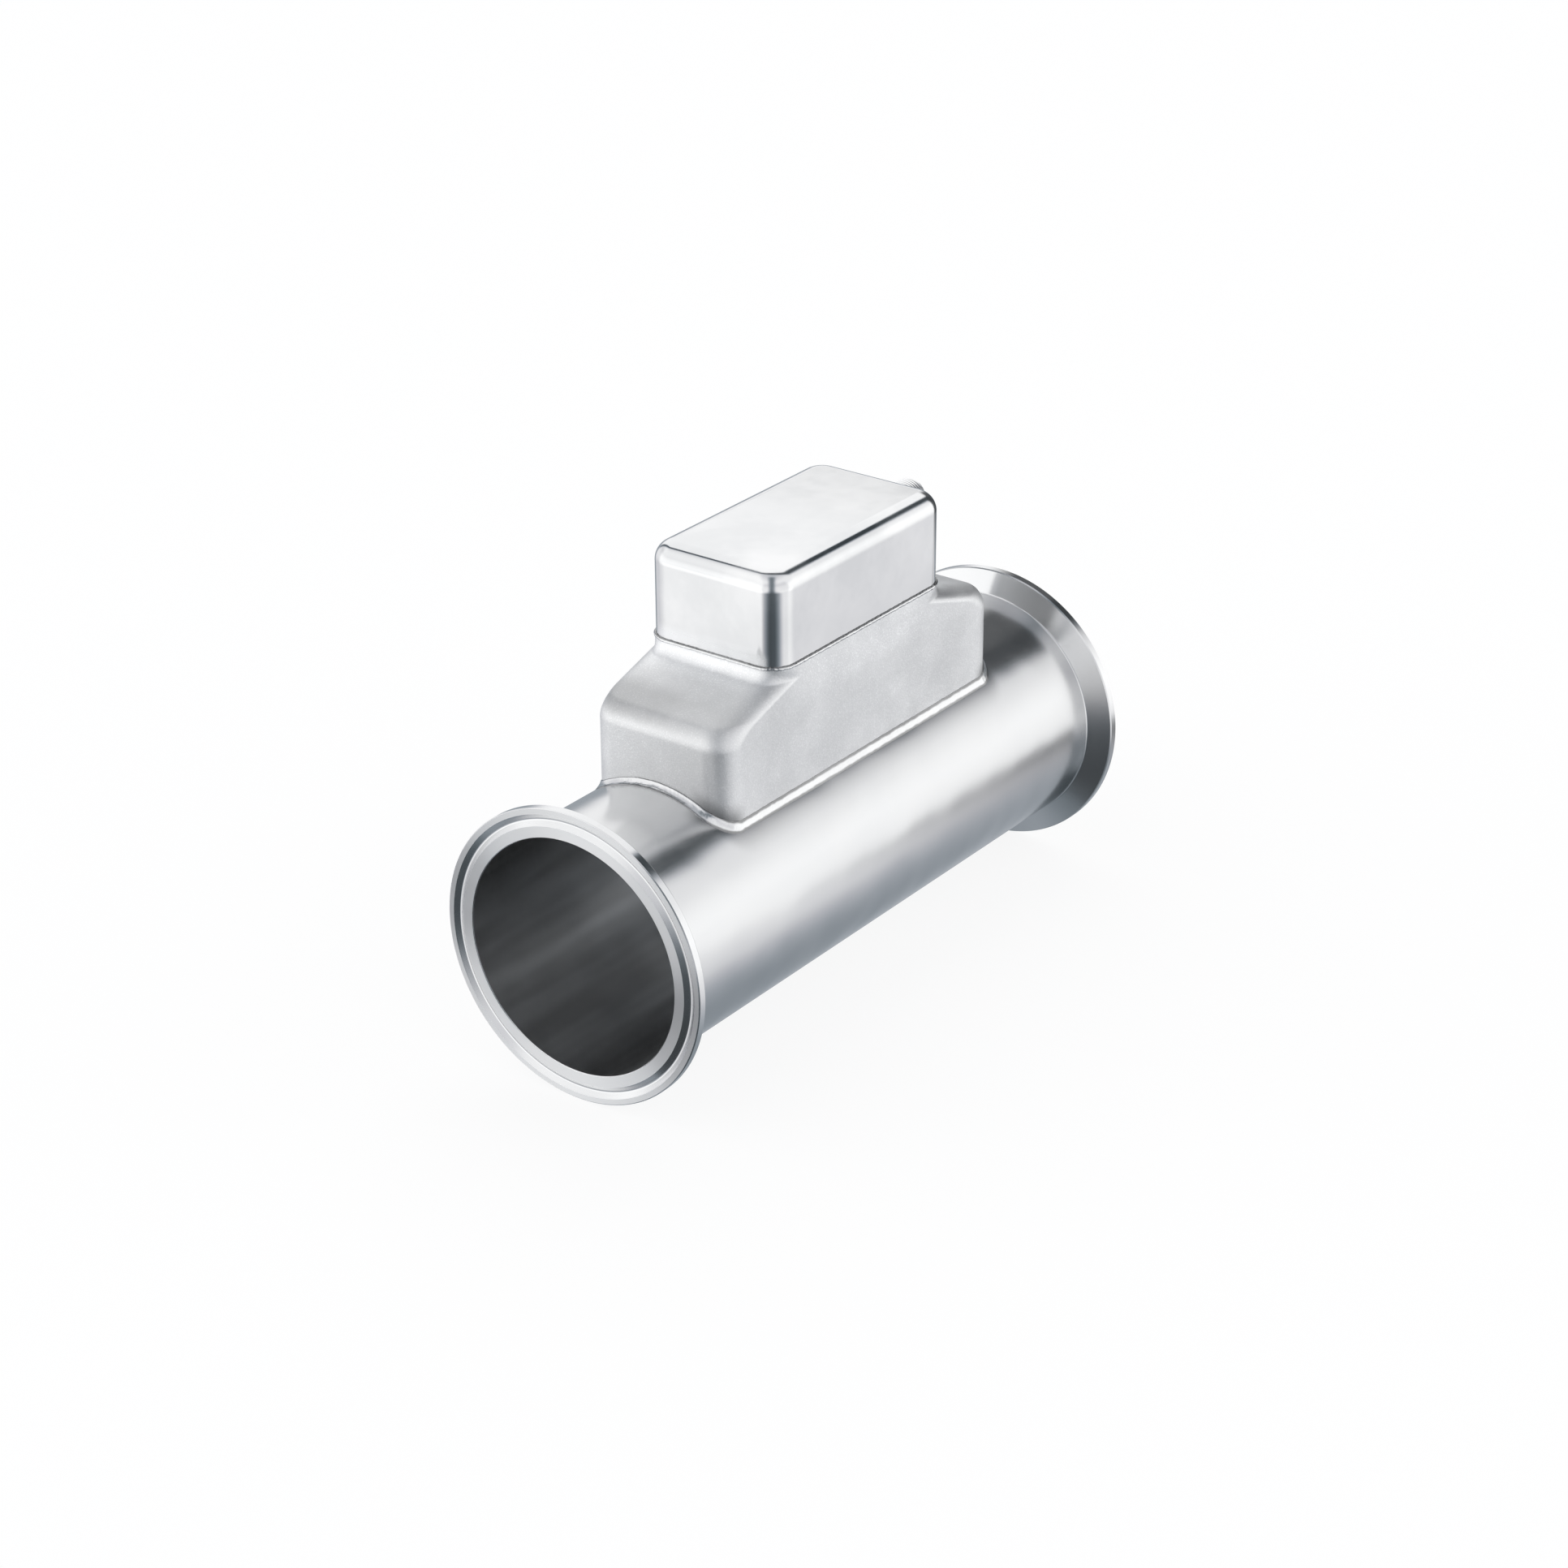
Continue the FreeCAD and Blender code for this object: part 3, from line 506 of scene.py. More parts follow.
def build_weld_crease_painted_shade(tree, given):
    """One in the creases of the welds, where shade is painted: by the tube, by the saddle's wall and under
    the cap.
    """
    z = axes(tree, given["Place"])[2]
    at_tube = mask(tree, off_axis(tree, given["Place"]), *CREASE_TUBE)
    at_wall = overlap(
        tree, mask(tree, off_saddle(tree, given["Place"]), *CREASE_WALL), mask(tree, z, *CREASE_BELOW))
    at_cap = mask(tree, z, *CREASE_CAP)
    return (maths(tree, "MAXIMUM", at_cap, maths(tree, "MAXIMUM", at_tube, at_wall)),)


def build_cap_foot_dull_and_painted_light(tree, given):
    """One low on the ends of the cap, where its weld dulled it and where light is painted."""
    x, _, z = axes(tree, given["Place"])
    return (overlap(tree, mask(tree, z, *FOOT_LOW), mask(tree, maths(tree, "ABSOLUTE", x), *FOOT_END)),)


GRAIN = effect("blasted_grain", ["Scale"], ["Height", "Fleck"], build_grain)
LINES = effect("drawn_lines", ["Scale"], ["Lines"], build_lines)
RINGS = effect("turned_rings", ["Scale"], ["Rings"], build_rings)
MARKS = effect("wiped_marks", ["Scale"], ["Marks"], build_marks)
STREAKS = effect("soft_streaks", ["Scale"], ["Streaks"], build_streaks)
WAVES = effect("sheet_swell", ["Scale"], ["Swell"], build_waves)
BORE = effect("bore_side", [], ["Inside"], build_bore)
THREAD_ROOT_PAINTED_SHADE = effect("thread_root_painted_shade", [], ["Painted Root Shade"], build_thread_root_painted_shade)
SADDLE_PAINTED_SHADE_AND_LIGHT = effect("saddle_painted_shade_and_light", [], ["Painted Shoulder Shade", "Painted Neck Light", "Side"], build_saddle_painted_shade_and_light)
CORNER_PAINTED_SHADE = effect("corner_painted_shade", [], ["Painted Corner Shade"], build_corner_painted_shade)
BESIDE = effect("tube_darker_beside_weld", [], ["Beside"], build_beside)
WELD_CREASE_PAINTED_SHADE = effect("weld_crease_painted_shade", [], ["Painted Crease Shade"], build_weld_crease_painted_shade)
CAP_FOOT_DULL_AND_PAINTED_LIGHT = effect("cap_foot_dull_and_painted_light", [], ["Dull Foot And Painted Light"], build_cap_foot_dull_and_painted_light)

# Values that the finishes share.
MARK_SCALE = 28.0
STREAK_SCALE = 70.0
POLISH_FROM, POLISH_TO = 0.2, 0.8
DARK_TINT, LIGHT_TINT = 0.012, 0.004
QUARTER_TURN = 0.25
INNER_MARK_SCALE = 220.0
INNER_DARK_SHARE = 0.82
INNER_POLISH_PLAY = 0.06
INNER_GRAIN_SCALE = 9000.0
INNER_RELIEF = (0.15, 0.05 * MM)


def use(tree, group, place, scale=None):
    """Outputs of an effect at a place, at a scale where it has one."""
    inputs = {"Place": place}
    if scale is not None:
        inputs["Scale"] = scale
    return node(tree, "ShaderNodeGroup", inputs, node_tree=group).outputs


def new_finish(name):
    """Material with its shader and the place on the piece."""
    finish = bpy.data.materials.new(name)
    finish.use_nodes = True
    tree = finish.node_tree
    place = tree.nodes.new("ShaderNodeTexCoord").outputs["Object"]
    return finish, tree, tree.nodes["Principled BSDF"], place


def reopen(finish, name):
    """Tree of a finish, the place on the piece, the shader's input of this name and what feeds it."""
    tree = finish.node_tree
    target = tree.nodes["Principled BSDF"].inputs[name]
    return tree, tree.nodes["Texture Coordinate"].outputs["Object"], target, target.links[0].from_socket


def grey(value, tint):
    """Steel colour of this lightness, cooler with more tint."""
    return (value * (1 - tint), value, value * (1 + tint), 1)


def bump(tree, shader, height, strength, depth):
    """Relief on a finish."""
    made = node(tree, "ShaderNodeBump", {"Height": height, "Strength": strength, "Distance": depth})
    tree.links.new(made.outputs["Normal"], shader.inputs["Normal"])


def steel(name, shades, polish, texture, relief, wiped=0.4):
    """Bare steel whose shade, polish and relief follow one of the textures and the wiped marks."""
    finish, tree, shader, place = new_finish(name)
    group, result, scale = texture
    dark, light = shades
    pattern = use(tree, group, place, scale)[result]
    marks = use(tree, MARKS, place, MARK_SCALE)["Marks"]
    mixed = weighed(tree, pattern, marks, wiped)
    colour = blend(tree, mixed, grey(dark, DARK_TINT), grey(light, LIGHT_TINT))
    tree.links.new(colour, shader.inputs["Base Color"])
    roughness = spread(tree, mixed, POLISH_FROM, POLISH_TO, *polish)
    tree.links.new(roughness, shader.inputs["Roughness"])
    shader.inputs["Metallic"].default_value = 1.0
    bump(tree, shader, pattern, *relief)
    return finish


def rougher(finish, group, result, extra):
    """Take the polish off a finish where a mask is one."""
    tree, place, target, bare = reopen(finish, "Roughness")
    added = maths(tree, "MULTIPLY", use(tree, group, place)[result], extra)
    tree.links.new(maths(tree, "ADD", bare, added), target)


def shaded(finish, group, result, least, most, scale=None):
    """Take a finish down, or up, by a share between two values where a mask is one, in soft streaks."""
    tree, place, target, bare = reopen(finish, "Base Color")
    share = spread(tree, use(tree, STREAKS, place, STREAK_SCALE)["Streaks"], 0.0, 1.0, least, most)
    taken = node(tree, "ShaderNodeVectorMath", {0: bare, "Scale": share}, operation="SCALE").outputs[0]
    tree.links.new(blend(tree, use(tree, group, place, scale)[result], bare, taken), target)


def wavy(finish, scale, depth):
    """Let the drawn sheet of a finish swell a little, which bends its reflections."""
    tree, place, target, bare = reopen(finish, "Normal")
    swell = node(tree, "ShaderNodeBump", {
        "Height": use(tree, WAVES, place, scale)["Swell"], "Strength": 1.0, "Distance": depth,
        "Normal": bare})
    tree.links.new(swell.outputs["Normal"], target)


def turned(finish, stretch):
    """Let the gloss of a finish stretch across the rings that turning leaves."""
    tree = finish.node_tree
    shader = tree.nodes["Principled BSDF"]
    shader.inputs["Anisotropic"].default_value = stretch
    shader.inputs["Anisotropic Rotation"].default_value = QUARTER_TURN
    tangent = node(tree, "ShaderNodeTangent", direction_type="RADIAL", axis="X")
    tree.links.new(tangent.outputs[0], shader.inputs["Tangent"])


def moulded(name, colour, roughness, metallic):
    """Finish of the small pieces: a little uneven in colour, gloss and skin."""
    finish, tree, shader, place = new_finish(name)
    marks = use(tree, MARKS, place, INNER_MARK_SCALE)["Marks"]
    darker = tuple(INNER_DARK_SHARE * part for part in colour)
    tree.links.new(blend(tree, marks, (*darker, 1), (*colour, 1)), shader.inputs["Base Color"])
    rough = spread(tree, marks, 0.0, 1.0, roughness - INNER_POLISH_PLAY, roughness + INNER_POLISH_PLAY)
    tree.links.new(rough, shader.inputs["Roughness"])
    shader.inputs["Metallic"].default_value = metallic
    bump(tree, shader, use(tree, GRAIN, place, INNER_GRAIN_SCALE)["Height"], *INNER_RELIEF)
    return finish


TUBE_FINISH = steel(
    "satin_tube", shades=(0.63, 0.67), polish=(0.18, 0.23), texture=(LINES, "Lines", 4000.0),
    relief=(0.04, 0.02 * MM))
wavy(TUBE_FINISH, scale=45.0, depth=0.5 * MM)
# Painted shade and painted light in soft streaks inside the bore.
shaded(TUBE_FINISH, BORE, "Inside", 0.80, 1.12)
rougher(TUBE_FINISH, BORE, "Inside", 0.12)
# The tube is made darker in a band along the long sides of the saddle's weld.
shaded(TUBE_FINISH, BESIDE, "Beside", 0.68, 0.74)

FERRULE_FINISH = steel(
    "turned_ferrule", shades=(0.66, 0.72), polish=(0.13, 0.18), texture=(RINGS, "Rings", 6000.0),
    relief=(0.05, 0.02 * MM))
turned(FERRULE_FINISH, 0.75)

FACE_FINISH = steel(
    "faced_ferrule", shades=(0.81, 0.87), polish=(0.45, 0.51), texture=(RINGS, "Rings", 6000.0),
    relief=(0.05, 0.02 * MM))
turned(FACE_FINISH, 1.0)

BLAST_SCALE = 2200.0
SADDLE_FINISH = steel(
    "blasted_saddle", shades=(0.60, 0.86), polish=(0.46, 0.54), texture=(GRAIN, "Height", BLAST_SCALE),
    relief=(0.7, 0.1 * MM))
# Painted shade on the saddle's shoulders, weaker toward the near side.
shaded(SADDLE_FINISH, SADDLE_PAINTED_SHADE_AND_LIGHT, "Painted Shoulder Shade", 0.68, 0.72)
# Painted shade at the lower corners of the saddle's near side, by the weld.
shaded(SADDLE_FINISH, CORNER_PAINTED_SHADE, "Painted Corner Shade", 0.40, 0.46)
# Painted light on the saddle's neck.
shaded(SADDLE_FINISH, SADDLE_PAINTED_SHADE_AND_LIGHT, "Painted Neck Light", 1.14, 1.18)
# Painted light on the far half of the saddle's near side.
shaded(SADDLE_FINISH, SADDLE_PAINTED_SHADE_AND_LIGHT, "Side", 1.08, 1.13)
shaded(SADDLE_FINISH, GRAIN, "Fleck", 1.06, 1.12, BLAST_SCALE)

CAP_FINISH = steel(
    "satin_cap", shades=(0.64, 0.76), polish=(0.09, 0.17), texture=(GRAIN, "Height", 3400.0),
    relief=(0.05, 0.05 * MM), wiped=0.8)
wavy(CAP_FINISH, scale=30.0, depth=0.1 * MM)
rougher(CAP_FINISH, CAP_FOOT_DULL_AND_PAINTED_LIGHT, "Dull Foot And Painted Light", 0.22)
# Painted light low on the ends of the cap, which the weld also dulled.
shaded(CAP_FINISH, CAP_FOOT_DULL_AND_PAINTED_LIGHT, "Dull Foot And Painted Light", 1.12, 1.20)

WELD_FINISH = steel(
    "run_weld", shades=(0.63, 0.77), polish=(0.16, 0.26), texture=(GRAIN, "Height", 900.0),
    relief=(0.3, 0.1 * MM))
# Painted shade in the creases of the welds.
shaded(WELD_FINISH, WELD_CREASE_PAINTED_SHADE, "Painted Crease Shade", 0.35, 0.50)

CONNECTOR_FINISH = steel(
    "turned_connector", shades=(0.75, 0.85), polish=(0.14, 0.22), texture=(GRAIN, "Height", 3000.0),
    relief=(0.06, 0.02 * MM))
# Painted shade in the roots of the thread.
shaded(CONNECTOR_FINISH, THREAD_ROOT_PAINTED_SHADE, "Painted Root Shade", 0.25, 0.35)

SLOT_FINISHES = {
    "tube_steel": TUBE_FINISH,
    "turned_steel": FERRULE_FINISH,
    "blasted_steel": SADDLE_FINISH,
    "cap_steel": CAP_FINISH,
    "weld_steel": WELD_FINISH,
    "connector_steel": CONNECTOR_FINISH,
}

# Roughness of the finishes of the small pieces, and one for metal; their colours are the record's.
INNER_POLISH = {
    "carrier_steel": (0.35, 1.0),
    "seal_rubber": (0.6, 0.0),
    "insert_plastic": (0.45, 0.0),
    "holder_plastic": (0.5, 0.0),
    "socket_plastic": (0.45, 0.0),
    "lead_insulation": (0.4, 0.0),
    "contact_metal": (0.25, 1.0),
    "standoff_brass": (0.3, 1.0),
    "block_aluminium": (0.35, 1.0),
    "board_laminate": (0.35, 0.0),
    "plate_ceramic": (0.4, 0.0),
    "core_ferrite": (0.5, 0.0),
}
SLOT_COLOURS = {row["slot"]: row["base_color"] for row in frame["record"]["materials"]}
for slot, (roughness, metallic) in INNER_POLISH.items():
    SLOT_FINISHES[slot] = moulded(slot, SLOT_COLOURS[slot], roughness, metallic)


def dress(piece, *finishes):
    """Give a piece these finishes and no others."""
    piece.data.materials.clear()
    for finish in finishes:
        piece.data.materials.append(finish)


# Pieces.
def make_tube():
    """Thin tube: a ring drawn out along the axis and given its wall."""
    rest_tools()
    bpy.ops.mesh.primitive_circle_add(
        vertices=RING_STEPS, radius=TUBE_R, location=(-TUBE_END_X, 0, 0), rotation=(0, math.pi / 2, 0))
    tube = new_piece("tube_body")
    open_mesh(tube)
    bpy.ops.mesh.extrude_region_move(TRANSFORM_OT_translate={"value": (2 * TUBE_END_X, 0, 0)})
    close_mesh(tube)
    apply_modifier(tube, "SOLIDIFY", thickness=TUBE_R - BORE_R, offset=-1.0)
    smooth(tube)
    seat(tube, "tube_steel", "measuring_tube")
    return tube


def make_ferrules():
    """Clamp ferrules turned from their section: face with the gasket groove, rim, bevelled back and neck."""
    face = END_X
    back = face - RIM_T
    hub = back - BEVEL_SLOPE * (RIM_R - TUBE_R)
    root = face - GROOVE_HALF * math.tan(GROOVE_WALL) + GROOVE_ROOT_R / math.cos(GROOVE_WALL)
    wall = math.degrees(GROOVE_WALL)
    groove = [(face, GROOVE_CENTRE_R - GROOVE_HALF)] + arc(
        root, GROOVE_CENTRE_R, GROOVE_ROOT_R, 180 + wall, 180 - wall, GROOVE_STEPS) + [
        (face, GROOVE_CENTRE_R + GROOVE_HALF)]
    slope = math.degrees(math.atan(BEVEL_SLOPE))
    bend = 90 - slope
    reach = HUB_ROUND * math.tan(math.radians(bend / 2))
    hub_round = arc(hub - reach, TUBE_R + HUB_ROUND, HUB_ROUND, -slope, -90, ROUND_STEPS)
    chamfer_r = RIM_CHAMFER * math.cos(math.radians(slope))
    chamfer_x = RIM_CHAMFER * math.sin(math.radians(slope))
    profile = [(face, BORE_R + LIP)] + groove + [
        (face, RIM_R - RIM_CHAMFER),
        (face - RIM_CHAMFER, RIM_R),
        (back + RIM_CHAMFER, RIM_R),
        (back - chamfer_x, RIM_R - chamfer_r),
    ] + hub_round + [
        (TUBE_END_X, TUBE_R),
        (TUBE_END_X, BORE_R),
        (face - LIP, BORE_R),
    ]
    outlet = turned_piece("outlet_clamp", profile)
    smooth(outlet)
    dress(outlet, FERRULE_FINISH, FACE_FINISH, TUBE_FINISH)
    open_mesh(outlet)
    pick(outlet, "FACE", lambda f: all(v.co.x > END_X - TINY for v in f.verts))
    outlet.active_material_index = 1
    bpy.ops.object.material_slot_assign()
    pick(outlet, "FACE", lambda f: all(v.co.yz.length < TUBE_R + TINY for v in f.verts))
    outlet.active_material_index = 2
    bpy.ops.object.material_slot_assign()
    take(outlet)
    bpy.ops.object.duplicate()
    bpy.context.object.rotation_euler = (0, 0, math.pi)
    inlet = new_piece("inlet_clamp")
    seat(inlet, "turned_steel", "inlet_ferrule")
    seat(outlet, "turned_steel", "outlet_ferrule")
    return inlet, outlet


def saddle_levels():
    """Half length, height and corner stretch of the saddle's outline, from the foot to the neck."""
    tangent = math.tan(SHOULDER_TURN / 2)
    crest = []
    hollow = []
    for step in range(ROUND_STEPS + 1):
        share = step / ROUND_STEPS
        ease = share * share * (3 - 2 * share)
        turn = SHOULDER_TURN * share
        stretch = 1 + (SHOULDER_STRETCH - 1) * ease
        crest.append((
            SADDLE_HALF - SHOULDER_ROUND * (1 - math.cos(turn)),
            SHOULDER_Z - SHOULDER_ROUND * (tangent - math.sin(turn)), stretch))
        hollow.append((
            NECK_HALF + NECK_ROUND * (1 - math.cos(turn)),
            NECK_Z + NECK_ROUND * (tangent - math.sin(turn)), stretch))
    hollow.reverse()
    return [(SADDLE_HALF, SADDLE_FOOT_Z, 1.0)] + crest + hollow + [(NECK_HALF, SEAM_Z, 1.0)]


def make_saddle():
    """Sheet housing: an outline drawn up level by level, given its wall and cut to the round of the tube."""
    levels = saddle_levels()
    half, z, stretch = levels[0]
    saddle = rounded_plate("saddle_shell", half, SADDLE_SIDE, SADDLE_CORNER, z)
    bpy.ops.mesh.delete(type="ONLY_FACE")
    bpy.ops.mesh.select_all(action="SELECT")
    for next_half, next_z, next_stretch in levels[1:]:
        bpy.ops.mesh.extrude_region_move(TRANSFORM_OT_translate={"value": (0, 0, next_z - z)})
        side = half - SADDLE_CORNER * stretch
        next_side = next_half - SADDLE_CORNER * next_stretch
        for end in (-1, 1):
            pick(saddle, "VERT", lambda v: abs(v.co.z - next_z) < TINY and v.co.x * end > side - TINY)
            bpy.ops.transform.translate(value=(end * (next_side - side), 0, 0))
            bpy.ops.transform.resize(
                value=(next_stretch / stretch, 1, 1), center_override=(end * next_side, 0, 0))
        pick(saddle, "VERT", lambda v: abs(v.co.z - next_z) < TINY)
        half, z, stretch = next_half, next_z, next_stretch
    close_mesh(saddle)
    apply_modifier(saddle, "SOLIDIFY", thickness=SADDLE_WALL, offset=-1.0, use_even_offset=True)
    cut(saddle, round_bar("tube_cutter", TUBE_R, -END_X, END_X, 0))
    smooth(saddle)
    seat(saddle, "blasted_steel", "saddle_housing")
    return saddle


def make_cap():
    """Drawn cap: a block with round upright corners and a round top, opened below and given its wall."""
    rest_tools()
    bpy.ops.mesh.primitive_cube_add(size=2, location=(0, 0, (SEAM_Z + CAP_TOP_Z) / 2))
    bpy.context.object.scale = (CAP_HALF, CAP_SIDE, (CAP_TOP_Z - SEAM_Z) / 2)
    cap = new_piece("cap_shell")
    open_mesh(cap)
    pick(cap, "EDGE", lambda e: abs(e.verts[0].co.z - e.verts[1].co.z) > CAP_TOP_ROUND)
    bpy.ops.mesh.bevel(offset=CAP_CORNER, segments=CORNER_STEPS, affect="EDGES", clamp_overlap=False)
    pick(cap, "EDGE", lambda e: middle(e).z > CAP_TOP_Z - TINY)
    bpy.ops.mesh.bevel(offset=CAP_TOP_ROUND, segments=ROUND_STEPS, affect="EDGES", clamp_overlap=False)
    pick(cap, "EDGE", lambda e: middle(e).z < SEAM_Z + TINY)
    bpy.ops.mesh.bevel(offset=CAP_FOOT_ROUND, segments=FOOT_STEPS, affect="EDGES", clamp_overlap=False)
    pick(cap, "FACE", lambda f: f.normal.z < -0.99 and f.calc_center_median().z < SEAM_Z + TINY)
    bpy.ops.mesh.delete(type="FACE")
    close_mesh(cap)
    apply_modifier(cap, "SOLIDIFY", thickness=CAP_WALL, offset=-1.0, use_even_offset=True)
    cut(cap, round_bar(
        "shank_cutter", SHANK_R, CAP_HALF - 3 * CAP_WALL, CAP_HALF + CAP_WALL, CONNECTOR_Z))
    smooth(cap)
    seat(cap, "cap_steel", "housing_cap")
    return cap


def melt(bead, grain, ripple_rise, ripple_size):
    """Run a weld into one skin with small ripples."""
    apply_modifier(bead, "REMESH", mode="VOXEL", voxel_size=grain)
    apply_modifier(bead, "SMOOTH", factor=0.5, iterations=MELT_PASSES)
    ripple = bpy.data.textures.new(bead.name + "_ripple", "CLOUDS")
    ripple.noise_scale = ripple_size
    ripple.noise_depth = 1
    apply_modifier(
        bead, "DISPLACE", texture=ripple, texture_coords="LOCAL", strength=ripple_rise, mid_level=0.5)
    take(bead)
    bpy.ops.object.shade_smooth()


def make_saddle_bead():
    """Weld at the foot of the saddle: steps from the tube up to the wall, run into one hollow fillet."""
    steps = []
    for step in range(BEAD_STEPS):
        share = step / (BEAD_STEPS - 1)
        out = BEAD_TOP_SHARE + (1 - BEAD_TOP_SHARE) * (1 - share) ** BEAD_HOLLOW
        side = BEAD_SIDE_REACH * out
        height = BEAD_FOOT_RISE + (BEAD_RISE - BEAD_FOOT_RISE) * share
        layer = rounded_block(
            "saddle_bead", SADDLE_HALF + BEAD_END_REACH * out, SADDLE_SIDE + side, SADDLE_CORNER + side,
            SADDLE_FOOT_Z, BEAD_BLOCK)
        keep(layer, round_bar("bead_top", TUBE_R + height, -END_X, END_X, 0))
        cut(layer, round_bar("bead_base", TUBE_R - BEAD_SEAT, -END_X, END_X, 0))
        cut(layer, rounded_block(
            "bead_inside", SADDLE_HALF - BEAD_SEAT, SADDLE_SIDE - BEAD_SEAT, SADDLE_CORNER - BEAD_SEAT,
            BEAD_INSIDE_Z, BEAD_INSIDE_BLOCK))
        steps.append(layer)
    take(steps[0])
    for layer in steps:
        layer.select_set(True)
    bpy.ops.object.join()
    bead = steps[0]
    bead.name = "saddle_bead"
    bead.data.name = "saddle_bead"
    melt(bead, grain=0.25 * MM, ripple_rise=0.15 * MM, ripple_size=2.6 * MM)
    seat(bead, "weld_steel", "saddle_weld")
    return bead


def make_cap_bead():
    """Thin weld under the cap, on the place of its solid, with the uneven skin of a run weld."""
    solid = nodes["cap_weld"]
    bead = solid.copy()
    bead.data = solid.data.copy()
    for key in list(bead.keys()):
        del bead[key]
    bead.parent = None
    bead.matrix_world = Matrix.Identity(4)
    bpy.context.scene.collection.objects.link(bead)
    bead.name = "cap_bead"
    bead.data.name = "cap_bead"
    open_mesh(bead)
    close_mesh(bead)
    melt(bead, grain=0.18 * MM, ripple_rise=0.22 * MM, ripple_size=1.1 * MM)
    seat(bead, "weld_steel", "cap_weld")
    return bead


def make_connector():
    """Threaded plug connector: turned shell with a flange, and a thread run round it."""
    profile = [
        (SHANK_END_X, SOCKET_R),
        (SHANK_END_X, SHANK_R),
        (FLANGE_X, SHANK_R),
        (FLANGE_X, FLANGE_R),
        (THREAD_X - CONNECTOR_CHAMFER, FLANGE_R),
        (THREAD_X, FLANGE_R - CONNECTOR_CHAMFER),
        (THREAD_X, THREAD_ROOT_R),
        (CONNECTOR_END_X - CONNECTOR_CHAMFER, THREAD_ROOT_R),
        (CONNECTOR_END_X, THREAD_ROOT_R - CONNECTOR_CHAMFER),
        (CONNECTOR_END_X, SOCKET_R),
    ]
    shell = turned_piece("connector_body", profile, CONNECTOR_Z, THREAD_STEPS * 2)
    join(shell, make_thread())
    smooth(shell)
    seat(shell, "connector_steel", "connector_shell")
    return shell


def make_thread():
    """Ridge run round the connector and trimmed to its chamfered end."""
    foot = THREAD_ROOT_R - THREAD_SINK
    rest_tools()
    bpy.ops.mesh.primitive_plane_add(size=2, location=(THREAD_X, (foot + THREAD_R) / 2, 0))
    bpy.context.object.scale = (THREAD_FOOT_HALF, (THREAD_R - foot) / 2, 1)
    thread = new_piece("thread_ridge")
    open_mesh(thread)
    bpy.ops.mesh.delete(type="ONLY_FACE")
    pick(thread, "VERT", lambda v: v.co.y > THREAD_R - TINY)
    bpy.ops.transform.resize(value=(THREAD_CREST_SHARE, 1, 1), center_override=(THREAD_X, 0, 0))
    rest_tools()
    apply_modifier(
        thread, "SCREW", axis="X", screw_offset=THREAD_PITCH, iterations=THREAD_TURNS,
        steps=THREAD_STEPS, render_steps=THREAD_STEPS, use_smooth_shade=False)
    open_mesh(thread)
    bpy.ops.mesh.fill_holes(sides=6)
    bpy.ops.transform.translate(value=(0, 0, CONNECTOR_Z))
    close_mesh(thread)
    trim = round_bar(
        "thread_trim", THREAD_R + TINY, THREAD_X + THREAD_START, CONNECTOR_END_X, CONNECTOR_Z)
    open_mesh(trim)
    pick(trim, "EDGE", lambda e: all(v.co.x > CONNECTOR_END_X - TINY for v in e.verts))
    bpy.ops.mesh.bevel(offset=THREAD_TRIM, segments=1, affect="EDGES")
    close_mesh(trim)
    keep(thread, trim)
    return thread


tube = make_tube()
inlet, outlet = make_ferrules()
saddle = make_saddle()
cap = make_cap()
saddle_bead = make_saddle_bead()
cap_bead = make_cap_bead()
connector = make_connector()


# Camera at the photograph's place.
AZIMUTH = math.radians(-53.696)
ELEVATION = math.radians(25.8589)
ROLL = math.radians(-0.2674)
DISTANCE = 1.14015
SHIFT_RIGHT = -0.0044027
SHIFT_UP = 0.010636
FOCAL_PIXELS = 4632.651
IMAGE_PIXELS = 1932
SENSOR_MM = 36.0


def make_camera():
    """Camera that sees the object as the photograph does."""
    back = Vector((
        math.sin(AZIMUTH) * math.cos(ELEVATION), -math.cos(AZIMUTH) * math.cos(ELEVATION),
        math.sin(ELEVATION)))
    level = Vector((math.cos(AZIMUTH), math.sin(AZIMUTH), 0))
    upright = back.cross(level)
    right = level * math.cos(ROLL) + upright * math.sin(ROLL)
    up = upright * math.cos(ROLL) - level * math.sin(ROLL)
    place = back * DISTANCE + right * SHIFT_RIGHT + up * SHIFT_UP
    data = bpy.data.cameras.new("camera")
    data.sensor_width = SENSOR_MM
    data.lens = FOCAL_PIXELS / IMAGE_PIXELS * SENSOR_MM
    camera = bpy.data.objects.new("camera", data)
    bpy.context.scene.collection.objects.link(camera)
    turn = Matrix((right, up, back)).transposed()
    camera.matrix_world = Matrix.Translation(place) @ turn.to_4x4()
    bpy.context.scene.camera = camera


make_camera()


def dress_all():
    """Give each piece and each solid the finish of its slot in the record."""
    slot_of = {part["node"]: part["material_slot"] for part in frame["record"]["subparts"]}
    for name, solid in nodes.items():
        dress(solid, SLOT_FINISHES[slot_of[name]])
    for piece in (tube, saddle, cap, saddle_bead, cap_bead, connector):
        dress(piece, SLOT_FINISHES[piece["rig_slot"]])


dress_all()


# Studio: light all round, brightest low at the sides, with a large panel behind the object that a dark gap
# frames, less light across the photograph's view, and a dark floor toward the camera.
# Levels by height in degrees.
STUDIO_LEVELS = [(-90, 0.30), (-50, 0.34), (-44, 0.38), (-38, 0.50), (-32, 0.66), (-26, 0.92), (-17, 1.10),
                 (-9, 1.34), (4, 1.46), (14, 1.38), (24, 1.16), (45, 1.12), (66, 0.85), (90, 0.62)]
# Tint of the shade: the level from which there is none, and the share of the colour at black.
SHADE_RED = (0.9, 0.84)
SHADE_BLUE = (1.4, 1.12)

